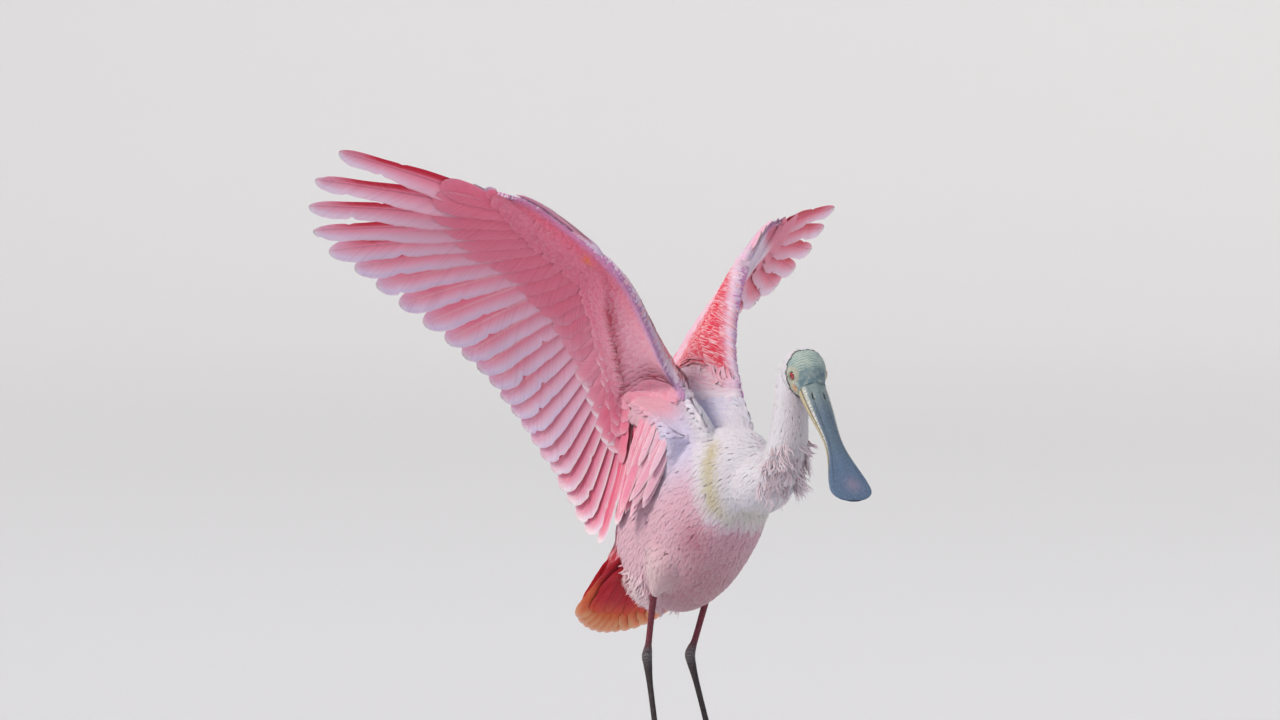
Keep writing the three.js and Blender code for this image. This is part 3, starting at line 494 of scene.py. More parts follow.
# The head's skin. It is bare, grey-green and finely wrinkled across the crown, and lies tight over
# the skull, with a thick pair of lids round each eye and a thin black edge where the feathers start.
SKULL_BACK, LIP = -54, 2.6
SKULL_RINGS = [
    # forwards, half width, crown, throat
    [SKULL_BACK, 8, 5, -9],
    [-49, 15, 14, -16],
    [-40, 20.2, 22, -20.5],
    [-28, 22.4, 25.2, -22],
    [-15, 19.6, 23, -20],
    [-5, 16.6, 18.6, -15.5],
    [0, 15.6, 15.4, -12],
    [LIP, 15.3, 14.5, -11],
]
SKULL_ROWS, SKULL_SIDES = 150, 190
EYE_RADIUS, LID_SPHERE, LID_OPENING = 6.0, 6.75, 4.7
LID_EDGE, LID_REACH, EYE_SUNK = 0.7, 11, 1.2
EYE_TURN = 0.24
MOUTH_DEPTH = 8
WRINKLE_SPACING = 3.1


def colour(code):
    """A linear colour from its sRGB code."""
    srgb = np.array([int(code[n:n + 2], 16) for n in (0, 2, 4)]) / 255
    return np.where(srgb < 0.04, srgb / 12.92, ((srgb + 0.055) / 1.055) ** 2.4)


def mixed(a, b, share):
    return a + (b - a) * np.asarray(share)[..., None]


def hump(*spans):
    """1 at the middle of each (value, middle, width), and near 0 well past the widths."""
    return np.exp(-sum(((value - middle) / width) ** 2 for value, middle, width in spans))


def bare_edge(up):
    """How far forwards the feathers of the neck reach on the head."""
    return -27 - 0.85 * (up - 6.5) + 1.1 * np.sin(up * 0.9) + 0.7 * np.sin(up * 2.1)


def wrinkles(across, forward):
    """The folds that cross the crown: 0 in a crease and 1 half way to the next."""
    warp = 1.4 * np.sin(across * 0.21 + 0.6) + 0.6 * np.sin(across * 0.55 + forward * 0.2)
    return np.abs(np.sin((forward + warp) * np.pi / WRINKLE_SPACING))


def mouth_line(forward, out, up, width):
    """The groove in which the mouth runs on into the face."""
    ahead = ramp(forward, -MOUTH_DEPTH - 2, -MOUTH_DEPTH + 2)
    return np.exp(-(up / width) ** 2) * ahead * ramp(out, 8, 12)


def smooth_peak(a, b, width):
    """The higher of two heights, rounded where they meet."""
    share = np.clip(0.5 + (a - b) / (2 * width), 0, 1)
    return b + (a - b) * share + width * share * (1 - share)


def head_skin():
    skull = track([(ring[0], ring[1:]) for ring in SKULL_RINGS])
    t = np.linspace(0, 1, SKULL_ROWS)
    forward = SKULL_BACK + (LIP - SKULL_BACK) * t ** 0.8
    forward[-1] = LIP
    k, turn = rings(forward, SKULL_SIDES)
    half, crown, throat = np.moveaxis(skull(k), -1, 0)
    centre, tall = (crown + throat) / 2, (crown - throat) / 2
    cos, sin = np.cos(turn), np.sin(turn)
    local = np.stack([half * cos, -k, centre + tall * sin], -1)
    normal = unit(np.stack([cos / half, np.zeros_like(k), sin / tall], -1))
    up = local[..., 2]
    # Wrinkles cross the crown and fade down the sides and on the forehead.
    crown_share = ramp(up, 9, 17) * ramp(k, -46, -40) * ramp(-k, 7, 15)
    rise = 0.42 * (wrinkles(local[..., 0], k) ** 0.6 - 0.75) * crown_share
    # A ridge runs back over each eye from the bill, with a hollow before the eye.
    side_out = np.abs(local[..., 0])
    rise += 1.1 * hump((up, 14.5, 3.2), (k, -16, 9.0)) * ramp(side_out, 8, 12)
    rise -= 1.3 * hump((up, 4, 4.5), (k, -4.5, 4.0)) * ramp(side_out, 8, 12)
    # The cheek is loose under the eye, in a few folds that run back from the mouth.
    rise += hump((up, -7, 6.0), (k, -13, 9.0)) * (0.35 + 0.3 * np.sin(up * 1.9 + k * 0.35))
    local += normal * rise[..., None]
    local -= normal * (1.5 * mouth_line(k, side_out, up, 0.8))[..., None]
    for side in SIDES.values():
        axis = at([math.sin(EYE_TURN), math.cos(EYE_TURN), 0], side)
        offset = local - at(EYE_PLACE, side)
        out = offset @ axis
        flat = offset - out[..., None] * axis
        away = np.linalg.norm(flat, axis=-1)
        near = (away < LID_REACH) & (out > 0)
        lid = np.sqrt(np.maximum(LID_SPHERE ** 2 - away ** 2, 0)) + 0.16 * np.cos(away * 5.2)
        raised = smooth_peak(lid, out, LID_EDGE)
        inside = np.sqrt(EYE_RADIUS ** 2 - np.minimum(away, 5.5) ** 2) - EYE_SUNK
        open_share = ramp(away, LID_OPENING - 0.75, LID_OPENING + 0.1)
        level = inside * (1 - open_share) + raised * open_share
        level = np.where(near, out + (level - out) * (1 - ramp(away, 8.5, LID_REACH)), out)
        local = local + axis * (level - out)[..., None]
    return local.reshape(-1, 3), grid_faces(SKULL_ROWS, SKULL_SIDES)


GREY_GREEN, CROWN_TONE, FACE_SHADE_SLATE = colour("88a2a6"), colour("a6bbb8"), colour("4b6a7a")
EYELID_TONE, GAPE_ORANGE, BAND_BLACK = colour("b9b8a4"), colour("cfa074"), colour("17161a")
PINK_SKIN, CREASE_SHADE_TONE = colour("d9aeb4"), colour("4b544f")


def head_paint(local):
    """The bare head's colours, from places in the head's own frame."""
    forward, out, up = -local[..., 1], np.abs(local[..., 0]), local[..., 2]
    paint = mixed(GREY_GREEN, CROWN_TONE, ramp(up, 11, 20) * ramp(-forward, 9, 20))
    # Painted shade darkens the brow to slate.
    brow_shade = ramp(forward, -17, -6) * ramp(up, 2, 10)
    paint = mixed(paint, FACE_SHADE_SLATE, 0.75 * brow_shade)
    # Painted shade darkens the creases between the crown's wrinkles.
    crease_shade = 1 - ramp(wrinkles(local[..., 0], forward), 0.05, 0.5)
    dark = crease_shade * ramp(up, 9, 17) * ramp(-forward, 7, 15)
    paint = mixed(paint, CREASE_SHADE_TONE, 0.8 * dark)
    eye_away = np.hypot(forward - EYE_PLACE[0], up - EYE_PLACE[2])
    paint = mixed(paint, EYELID_TONE, 0.85 * (1 - ramp(eye_away, 6.5, 12)) * ramp(out, 8, 13))
    paint = mixed(paint, EYELID_TONE, 0.7 * ramp(-up, 1, 8) * ramp(out, 7, 12))
    # Painted shade rings the opening where the lids meet the eye.
    paint = mixed(paint, CREASE_SHADE_TONE, 0.75 * (1 - ramp(np.abs(eye_away - LID_OPENING), 0.2, 0.9)))
    gape_away = np.hypot((forward + 6.5) / 1.5, up + 2.5)
    paint = mixed(paint, GAPE_ORANGE, 0.85 * (1 - ramp(gape_away, 1.8, 5.4)) * ramp(out, 8, 13))
    # Painted shade darkens the hollow before the eye to slate.
    lore_shade = np.hypot((forward + 1) / 3.2, (up - 6) / 5.5)
    paint = mixed(paint, FACE_SHADE_SLATE, 0.55 * (1 - ramp(lore_shade, 0.4, 1.3)) * ramp(out, 7, 12))
    paint = mixed(paint, BAND_BLACK, 0.8 * mouth_line(forward, out, up, 0.9))
    beyond = bare_edge(up) - forward
    paint = mixed(paint, BAND_BLACK, 1 - ramp(np.abs(beyond - 0.4), 1.0, 2.1))
    return mixed(paint, PINK_SKIN, ramp(beyond, 2.2, 3.4))


# The legs' skin. Each leg is bare from half way down the shank, covered in small scales that turn
# into broad plates down the front of the tarsus and over the toes, with short webs between them.
SHANK_TOP = 180
SHANK_ROWS = [
    [-6, 38, 179, 4.2, 4.2],
    [-10, 37, 168, 3.6, 3.8],
    [-22, 32.4, 128, 3.3, 3.6],
    [-26, 30.6, 117, 4.6, 5.2],
    [-28, 30, 110, 5.3, 6.1],
    [-26, 30.4, 101, 4.6, 5],
    [-20, 32.4, 80, 3.1, 3.6],
    [-7, 36, 36, 3, 3.4],
    [-2, 37.4, 20, 4, 4.4],
    [0, 38, 6, 4.8, 5],
]
FOOT_CENTRE = [0, 38, 6.5]
TOE_LENGTH = 80
# Each toe's turn outwards in degrees and its share of the longest one.
TOES = [(-27, 0.76), (2, 1), (32, 0.84), (170, 0.46)]
TOE_SIZES = np.array([
    [-0.02, 1.12], [0.1, 1.05], [0.36, 0.86], [0.42, 0.98], [0.66, 0.74], [0.72, 0.86], [0.97, 0.6],
])
TOE_START, TOE_END = -0.02, 0.97
TOE_HALF_HEIGHT, TOE_HALF_WIDTH = 4.2, 3.0
WEB_UNDER, WEB_OVER = 1.0, 3.2
PLATE_LENGTH, PLATE_RISE = 3.4, 0.22
LEG_VOXEL, LEG_ROUNDS = 0.85, 2


def plates(place):
    """The rounded rise of the broad plates, one after another along a leg or a toe."""
    return np.abs(np.sin(place * np.pi / PLATE_LENGTH)) ** 0.5 - 0.7


def leg_point(side):
    bare = limb(SHANK_ROWS, side)

    def point(k, turn, grow=0.0):
        down = SHANK_TOP - np.interp(k, np.arange(len(SHANK_ROWS)), [row[2] for row in SHANK_ROWS])
        return bare(k, turn, grow + PLATE_RISE * plates(down) * ramp(np.sin(turn), -0.3, 0.5))

    return point


def toe_ways(turn_out, side):
    """The way a toe points, and the way across it."""
    turn = math.radians(turn_out)
    way = at([math.cos(turn), math.sin(turn), 0], side)
    return way, np.array([-way[1], way[0], 0])


def toe_shell(centre, turn_out, length, side, rows=90, ring=20):
    way, across = toe_ways(turn_out, side)
    share, around = rings(np.linspace(TOE_START, TOE_END, rows), ring)
    size = np.interp(share, *TOE_SIZES.T)
    rise = PLATE_RISE * plates(share * length) * (np.sin(around) > -0.2)
    wide = 1.25 * np.cos(around) * (TOE_HALF_WIDTH * size + rise)
    flat_soled = 1 + np.clip(1.12 * np.sin(around), -1, 1)
    tall = (TOE_HALF_HEIGHT * size) * flat_soled + rise * np.sin(around)
    middle = centre + way * (share * length)[..., None]
    points = middle + across * wide[..., None]
    points[..., 2] = np.maximum(tall, 0)
    return points.reshape(-1, 3), grid_faces(rows, ring)


def web_shell(centre, ways, lengths, rows=12):
    """A thin sheet between two toes, hollowed at its free edge."""
    share, across = np.meshgrid(np.linspace(0, 1, rows), np.linspace(0, 1, rows), indexing="ij")
    reach = share * (0.3 - 0.13 * np.sin(np.pi * across))
    way = unit(ways[0] * (1 - across[..., None]) + ways[1] * across[..., None])
    length = lengths[0] * (1 - across) + lengths[1] * across
    under = centre + way * (reach * length)[..., None]
    last = rows - 1
    edge = [(0, n) for n in range(last)] + [(n, last) for n in range(last)]
    edge += [(last, n) for n in range(last, 0, -1)] + [(n, 0) for n in range(last, 0, -1)]
    points = [[*under[a, b, :2], height] for height in (WEB_UNDER, WEB_OVER) for a, b in edge]
    return np.array(points), grid_faces(2, len(edge))


def leg_shells(side):
    centre = at(FOOT_CENTRE, side)
    ways = [toe_ways(turn_out, side)[0] for turn_out, _ in TOES]
    lengths = [share * TOE_LENGTH for _, share in TOES]
    toes = [toe_shell(centre, turn, share * TOE_LENGTH, side) for turn, share in TOES]
    webs = [web_shell(centre, ways[n:n + 2], lengths[n:n + 2]) for n in range(2)]
    return [shell(leg_point(side), len(SHANK_ROWS) - 1, 260, 24), *toes, *webs]


MAROON, HEEL_GREY, TARSUS_DARK = colour("7d2a3c"), colour("8d8b90"), colour("2c2026")
TOE_DARK = colour("2a1d20")


def leg_paint(points):
    up = points[:, 2]
    paint = mixed(TARSUS_DARK, MAROON, ramp(up, 112, 132))
    scaly = 0.5 + 0.5 * np.sin(points[:, 0] * 3.1) * np.sin(up * 1.7 + points[:, 1] * 2.3)
    heel = hump((up, 112, 9)) * ramp(scaly, 0.35, 0.6)
    paint = mixed(paint, HEEL_GREY, 0.75 * heel)
    return mixed(paint, TOE_DARK, 1 - ramp(up, 10, 24))


# Finishes. The bare skin is leathery, mottled in fine spots and a little greasy over the head. The
# skin under the feathers is dull, and scales on the legs are small raised cells.
TEXTURE_OBJECT, ATTRIBUTE_VECTOR = 3, 1
MIX_A, MIX_B, MIX_RESULT = 6, 7, 2


def rgba(code):
    return (*colour(code), 1.0)


class Wire:
    """An output of a shader node, so that sums on it are written as sums."""

    def __init__(self, tree, socket=None):
        self.tree, self.socket = tree, socket

    def node(self, kind, settings=None, inputs=None, output=0):
        made = self.tree.nodes.new(kind)
        for name, value in (settings or {}).items():
            setattr(made, name, value)
        for key, value in (inputs or {}).items():
            if isinstance(value, Wire):
                self.tree.links.new(value.socket, made.inputs[key])
            else:
                made.inputs[key].default_value = value
        return Wire(self.tree, made.outputs[output])

    def sum(self, operation, *values):
        return self.node("ShaderNodeMath", {"operation": operation}, dict(enumerate(values)))

    def __add__(self, other):
        return self.sum("ADD", self, other)

    def __sub__(self, other):
        return self.sum("SUBTRACT", self, other)

    def __rsub__(self, other):
        return self.sum("SUBTRACT", other, self)

    def __mul__(self, other):
        return self.sum("MULTIPLY", self, other)

    __radd__, __rmul__ = __add__, __mul__

    def between(self, low, high):
        """From 0 at low to 1 at high."""
        settings = {"interpolation_type": "SMOOTHSTEP"}
        return self.node("ShaderNodeMapRange", settings, {0: self, 1: low, 2: high})

    def blended(self, kind, code, share):
        settings = {"data_type": "RGBA", "blend_type": kind}
        inputs = {0: share, MIX_A: self, MIX_B: rgba(code)}
        return self.node("ShaderNodeMix", settings, inputs, MIX_RESULT)

    def towards(self, code, share):
        """This colour mixed with another one."""
        return self.blended("MIX", code, share)

    def times(self, code, share):
        """This colour darkened by another one."""
        return self.blended("MULTIPLY", code, share)

    def noise(self, place, scale, detail=3.0):
        inputs = {"Vector": place, "Scale": scale, "Detail": detail}
        return self.node("ShaderNodeTexNoise", None, inputs)

    def place(self):
        """The place in the piece's own frame."""
        return self.node("ShaderNodeTexCoord", None, None, TEXTURE_OBJECT)

    def grain(self, scale, detail=3.0):
        """Noise that is fixed to the piece."""
        return self.noise(self.place(), scale, detail)


def finish(name, paint=None, roughness=0.6, bumps=(), constants=()):
    """A material from functions that are given its first wire, for colour, roughness and relief."""
    material = bpy.data.materials.new(name)
    material.use_nodes = True
    tree = material.node_tree
    shader = tree.nodes["Principled BSDF"]
    start = Wire(tree)
    if paint:
        tree.links.new(paint(start).socket, shader.inputs["Base Color"])
    if callable(roughness):
        tree.links.new(roughness(start).socket, shader.inputs["Roughness"])
    else:
        shader.inputs["Roughness"].default_value = roughness
    normal = None
    for height, distance in bumps:
        inputs = {"Height": height(start), "Distance": distance * MM, "Strength": 1.0}
        if normal:
            inputs["Normal"] = normal
        normal = start.node("ShaderNodeBump", None, inputs)
    if normal:
        tree.links.new(normal.socket, shader.inputs["Normal"])
    for key, value in constants:
        shader.inputs[key].default_value = value
    return material


def painted(wire):
    """The colours given to the points of a mesh."""
    return wire.node("ShaderNodeAttribute", {"attribute_name": "paint"})


def relief(scale, detail, depth):
    return lambda wire: wire.grain(scale, detail), depth


def skin_finish(name, grease):
    def paint(wire):
        spots = wire.grain(900.0, 4.0).between(0.4, 0.68)
        blotches = wire.grain(160.0).between(0.42, 0.66)
        tone = painted(wire).times("c3c0b4", spots * 0.45)
        return tone.towards("dfe0cf", blotches * 0.22)

    def roughness(wire):
        return 0.78 - wire.grain(300.0).between(0.35, 0.7) * (0.45 * grease)

    pebbles, folds = relief(1500.0, 3.0, 0.35), relief(420.0, 4.0, 0.5)
    return finish(name, paint, roughness, (pebbles, folds))


def scales(wire):
    """The way in from the edges of the small scales."""
    inputs = {"Vector": wire.place(), "Scale": 520.0}
    return wire.node("ShaderNodeTexVoronoi", {"feature": "DISTANCE_TO_EDGE"}, inputs)


def leg_finish():
    def paint(wire):
        joints = 1 - scales(wire).between(0.0, 0.12)
        worn = wire.grain(240.0).between(0.5, 0.75)
        tone = painted(wire).times("4a3a40", joints * 0.7)
        return tone.towards("8c7379", worn * 0.16)

    def roughness(wire):
        return 0.62 - scales(wire).between(0.0, 0.3) * 0.2

    edges = (lambda wire: scales(wire).between(0.0, 0.25), 0.3)
    return finish("leg scales", paint, roughness, (edges, relief(1800.0, 3.0, 0.12)))


def add_colours(mesh, paint):
    layer = mesh.attributes.new("paint", "FLOAT_COLOR", "POINT")
    full = np.ones((len(mesh.vertices), 4), np.float32)
    full[:, :3] = np.clip(paint, 0, 1)
    layer.data.foreach_set("color", full.ravel())


# The skin as one piece, with the same colours as the feathers over it.
BACK_WHITE_SKY_SHADED, FLANK_PINK, BELLY_ROSE_SHADED = colour("dbd2f1"), colour("e3a9bf"), colour("c07f8e")
BREAST_WHITE, BUFF, VENT_WHITE = colour("e9e1ee"), colour("c9ba8c"), colour("efc9d2")
TAIL_RED, THIGH_CREAM, STAIN = colour("cb1a31"), colour("efc9cf"), colour("b4506a")
NECK_WHITE, NECK_SHADE = colour("ebe6f0"), colour("c9a9b4")
WING_ROSE, WING_CARMINE, WING_LILAC = colour("ea9db3"), colour("d8405f"), colour("dcbfe0")
# The arm's middle, up against outwards: below it faces the under side of the wing.
ARM_MIDDLE = np.array([[300, 46], [342, 46], [388, 33], [521, 94], [585, 177]])


def body_paint(points):
    """The colours of the small feathers on the body, neck and thighs, by their places in mm."""
    forward, out, up = -points[..., 1], np.abs(points[..., 0]), points[..., 2]
    level = up - 0.28 * (forward - 30)
    # The back is white with a lavender tint; the tint is partly painted blue shade from the sky.
    paint = mixed(FLANK_PINK, BACK_WHITE_SKY_SHADED, ramp(level, 275, 335))
    # The lower front turns a darker rose: partly its own dusky colour, partly painted shade under the body.
    belly_shade = (1 - ramp(level, 185, 262)) * ramp(forward, -30, 25)
    paint = mixed(paint, BELLY_ROSE_SHADED, 0.9 * belly_shade)
    stain = hump((forward, 70, 15), (up, 246, 19)) * ramp(out, 15, 32)
    paint = mixed(paint, STAIN, 0.6 * stain)
    # The breast is white down to an uneven edge, which is cream, with a buff stripe down each side.
    edge = 3 * np.sin(out * 0.35) + 2 * np.sin(forward * 0.5)
    breast = ramp(forward + 0.35 * (up - 290), 68, 92) * ramp(up + edge, 250, 266)
    paint = mixed(paint, BREAST_WHITE, breast)
    stripe = np.exp(-(((forward - 93 + 0.12 * (up - 312)) / 8.5) ** 2))
    stripe = stripe * ramp(up, 262, 285) * (1 - ramp(up, 335, 352))
    paint = mixed(paint, BUFF, 0.85 * stripe * ramp(out, 14, 26))
    cream = hump((up + edge, 268, 9)) * ramp(forward, 92, 104)
    paint = mixed(paint, BUFF, 0.4 * cream)
    neck_share = ramp(up - 0.4 * (forward - 140), 300, 318) * ramp(forward, 112, 135)
    # The throat under the head is darkened by painted shade.
    throat = ramp(forward, 168, 190) * (1 - ramp(up, 395, 415))
    paint = mixed(paint, mixed(NECK_WHITE, NECK_SHADE, 0.45 * throat), neck_share)
    thigh = np.exp(-(((forward - 10 - 0.2 * (up - 216)) / 24) ** 2))
    thigh = thigh * ramp(out, 26, 36) * (1 - ramp(up, 222, 250))
    paint = mixed(paint, THIGH_CREAM, 0.8 * thigh)
    vent = ramp(-forward, 16, 46) * (1 - ramp(up, 192, 226))
    paint = mixed(paint, VENT_WHITE, 0.85 * vent)
    rump = ramp(-forward - 0.35 * (up - 240), 62, 84)
    paint = mixed(paint, TAIL_RED, rump)
    # The right wing shows more of its under side than the left one.
    turned = out + 12 * (points[..., 0] < 0)
    under = np.maximum(ramp(turned - np.interp(up, *ARM_MIDDLE.T), -5, 6), 1 - ramp(forward, -42, -5))
    root = ramp(up, 316, 348) * (1 - ramp(forward - 0.9 * np.maximum(up - 350, 0), -22, 40))
    paint = mixed(paint, WING_ROSE, 0.9 * under * root)
    over = (1 - under) * ramp(up, 405, 432) * (1 - ramp(forward, 85, 105))
    return mixed(paint, mixed(WING_CARMINE, WING_LILAC, ramp(up, 515, 540)), 0.7 * over)


head_local, head_faces = head_skin()
head_faces = outwards(head_local, head_faces)
head_points = from_head(head_local)


def build_skin():
    legs = [fused(leg_shells(side), LEG_VOXEL, LEG_ROUNDS) for side in SIDES.values()]
    for points, _ in legs:
        points[:, 2] = np.maximum(points[:, 2], 0)
    pieces = [(body_points, body_faces), (head_points, head_faces), *legs]
    points, faces = joined(pieces)
    leg = np.concatenate([leg_paint(some) for some, _ in legs])
    paint = np.concatenate([body_paint(body_points), head_paint(head_local), leg])
    # The body has the first finish, the head the second and both legs the third.
    finishes = (skin_finish("feathered skin", 0.25), skin_finish("bare head skin", 0.6), leg_finish())
    kinds = [
        np.full(sum(len(group) for group in groups), kind)
        for (_, groups), kind in zip(pieces, (0, 1, 2, 2))
    ]
    mesh = mesh_of("skin", points, faces)
    add_colours(mesh, paint)
    for material in finishes:
        mesh.materials.append(material)
    mesh.polygons.foreach_set("material_index", np.concatenate(kinds).astype(np.int32))
    return placed("skin", mesh)


skin = build_skin()
legs_and_body = ["torso", "neck_lower", "neck_upper", "head"]
legs_and_body += [f"{part}_{name}" for part in ("thigh", "shank", "tarsus", "foot") for name in SIDES]
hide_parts(*legs_and_body)
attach(skin, "root")
coat_points = np.concatenate([body_points, head_points])
coat_quads = np.concatenate([body_faces[0], head_faces[0] + len(body_points)])
skin_tree = BVHTree.FromPolygons((coat_points * MM).tolist(), coat_quads.tolist())


# The bill. Two long thin horn spoons, dark blue-grey with a painted pink reflection on the spoon, hinged at
# the face. Their edges are rough with pale beads from the root to half way, and a nostril lies on each side
# of the ridge.
BILL_LENGTH = 163
BILL_STATIONS = [
    # share of the length, half width, upper depth, lower depth
    [0.003, 15.1, 14.2, 10.5], [0.09, 15, 12.4, 9.6], [0.2, 14, 9.8, 7.6], [0.32, 12.2, 7.4, 5.8],
    [0.44, 10.6, 5.6, 4.4], [0.55, 11.2, 4.6, 3.6], [0.66, 14.4, 4, 3], [0.76, 18.6, 3.5, 2.6],
    [0.85, 22, 3.1, 2.3], [0.93, 22.6, 2.7, 2], [0.98, 16, 2.2, 1.6], [1, 7, 1.6, 1.2],
]
MOUTH_HALF_GAP, BILL_TIP_DROP = 0.22, 5.0
BEAD_LENGTH = 2.3
NOSTRIL = [19, 6.4]
NOSTRIL_HALF_LENGTH, NOSTRIL_HALF_WIDTH = 6.2, 1.15
BILL_ROWS, BILL_COLUMNS, BILL_INNER_COLUMNS = 250, 45, 12
LOWER_NARROWER = 0.6
BILL_SLATE, BILL_BASE, BILL_CREAM = colour("5c6f82"), colour("7c8c8f"), colour("c9bd98")
BILL_BLUE, BILL_PINK_REFLECTION = colour("5a708c"), colour("a58fa6")
BEAD_PALE, HORN_DARK = colour("dfe0da"), colour("1b1d22")


def horn_marks(s, x, half):
    """Beads, where the edge is rough with them, the nostril and the groove, each from 0 to 1."""
    along, aside = s * BILL_LENGTH, np.abs(x)
    beads = np.clip(np.sin(along * 2 * np.pi / BEAD_LENGTH + 4 * np.sin(along * 0.3)), 0, 1)
    rough = ramp(aside, 0.66 + 0.22 * s, 0.8 + 0.18 * s) * ramp(s, 0.01, 0.05) * (1 - ramp(s, 0.42, 0.62))
    nostril_along = (along - NOSTRIL[0]) / NOSTRIL_HALF_LENGTH
    nostril_aside = (aside * half - NOSTRIL[1]) / NOSTRIL_HALF_WIDTH
    nostril = np.clip(1 - np.hypot(nostril_along, nostril_aside), 0, 1)
    groove_way = 0.46 + 0.3 * ramp(s, 0.2, 0.9)
    groove = hump((aside, groove_way, 0.035)) * ramp(s, 0.1, 0.2) * (1 - ramp(s, 0.7, 0.95))
    return beads, rough, nostril, groove


def horn_colours(upper, s, x, beads, rough, nostril, groove):
    along, aside = s * BILL_LENGTH, np.abs(x)
    paint = mixed(BILL_BASE, BILL_SLATE, ramp(s, 0.05, 0.3))
    paint = mixed(paint, BILL_BLUE, ramp(s, 0.45, 0.75))
    # A painted pink reflection on the spoon.
    paint = mixed(paint, BILL_PINK_REFLECTION, 0.45 * hump((s, 0.88, 0.06), (x, 0.15, 0.35)))
    edge = ramp(aside, 0.78, 0.93) * (1 - ramp(s, 0.55, 0.75))
    paint = mixed(paint, BILL_CREAM, (0.45 if upper else 0.85) * edge)
    if not upper:
        paint = mixed(paint, BILL_CREAM, 0.6 * (1 - ramp(s, 0.2, 0.5)))
    crust = rough * np.clip(beads + 0.3 * np.sin(along * 5.3 + x * 9), 0, 1)
    paint = mixed(paint, BEAD_PALE, np.clip(1.3 * crust, 0, 1))
    tooth_line = ramp(aside, 0.925, 0.945) * (1 - ramp(s, 0.6, 0.85))
    paint = mixed(paint, HORN_DARK, 0.9 * tooth_line)
    paint = mixed(paint, BILL_CREAM, 0.9 * tooth_line * ramp(aside, 0.955, 0.975))
    if upper:
        paint = mixed(paint, HORN_DARK, np.maximum(0.9 * ramp(nostril, 0.05, 0.3), 0.5 * groove))
    return paint


def mandible(upper):
    """One half of the bill in the head's frame, with its colours."""
    face, narrower = (1, 0.0) if upper else (-1, LOWER_NARROWER)
    station = track([(row[0], row[1:]) for row in BILL_STATIONS])
    share = 0.003 + 0.997 * (1 - (1 - np.linspace(0, 1, BILL_ROWS)) ** 1.25)
    across = np.sin(np.linspace(-1, 1, BILL_COLUMNS) * np.pi / 2)
    s, x = np.meshgrid(share, across, indexing="ij")
    half, deep_up, deep_down = np.moveaxis(station(s), -1, 0)
    half = half - narrower
    deep = deep_up if upper else deep_down
    # The section is flat on top with a low ridge along the middle.
    rise = deep * (np.sqrt(np.clip(1 - x ** 4, 0, 1)) * 0.8 + 0.2 * hump((x, 0, 0.3)))
    along = s * BILL_LENGTH
    beads, rough, nostril, groove = horn_marks(s, x, half)
    if upper:
        ripples = np.sin(along * 2.1 + 2 * np.sin(x * 3)) * (1 - ramp(s, 0.08, 0.3))
        ripples = ripples * ramp(-np.abs(x), -0.6, -0.3)
        rise += 0.12 * ripples - 0.3 * groove - 1.9 * ramp(nostril, 0.05, 0.6)
    rise += rough * (0.55 * beads - 0.2)
    wide = x * half * (1 + 0.012 * rough * (beads - 0.5))
    drop = BILL_TIP_DROP * s ** 3
    outer = np.stack([wide, -along, face * (MOUTH_HALF_GAP + rise) - drop], -1)
    inner_x = np.linspace(across[-2], across[1], BILL_INNER_COLUMNS)
    inner_half = np.broadcast_to(half[:, :1], (len(share), len(inner_x)))
    flat_s = np.broadcast_to(share[:, None], inner_half.shape)
    inner_up = face * MOUTH_HALF_GAP - BILL_TIP_DROP * flat_s ** 3
    inner = np.stack([inner_x * inner_half, -flat_s * BILL_LENGTH, inner_up], -1)
    points = np.concatenate([outer, inner], 1)
    paint = horn_colours(upper, s, x, beads, rough, nostril, groove)
    dark = np.broadcast_to(HORN_DARK, (*inner_half.shape, 3))
    paint = np.concatenate([paint, dark], 1)
    return from_head(points.reshape(-1, 3)), grid_faces(*points.shape[:2]), paint


def shown(name, points, faces, material, replaced=(), paint=None):
    """A finished piece of the bird, which stands for the solids it replaces."""
    mesh = mesh_of(name, points, outwards(points, faces))
    mesh.materials.append(material)
    if paint is not None:
        add_colours(mesh, paint.reshape(-1, 3))
    piece = placed(name, mesh)
    if replaced:
        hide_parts(*replaced)
    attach(piece, "root")
    return piece


def horn_paint(wire):
    streaks = wire.grain(380.0, 5.0).between(0.42, 0.7)
    specks = wire.grain(1600.0).between(0.6, 0.72)
    tone = painted(wire).times("a9b0b8", streaks * 0.4)
    return tone.towards("cfd2cc", specks * 0.25)


def bill_roughness(wire):
    return 0.34 + wire.grain(260.0).between(0.3, 0.75) * 0.22


bill_finish = finish(
    "bill horn", horn_paint, bill_roughness, [relief(700.0, 5.0, 0.16)], [("Specular IOR Level", 0.42)])
for name in ("upper", "lower"):
    points, faces, paint = mandible(name == "upper")
    shown(f"bill_{name}_horn", points, faces, bill_finish, [f"bill_{name}"], paint)


# The eyes. A red iris with a small dark pupil, under a clear wet cornea, sunk between thick lids.
PUPIL_TURN, IRIS_TURN = 0.27, 0.66
EYE_POLE, EYE_CLEAR, CORNEA_RISE = 0.004, 0.15, 0.3
IRIS_RED, IRIS_LIGHT, EYE_DARK = colour("a3141b"), colour("e0452c"), colour("0c0507")


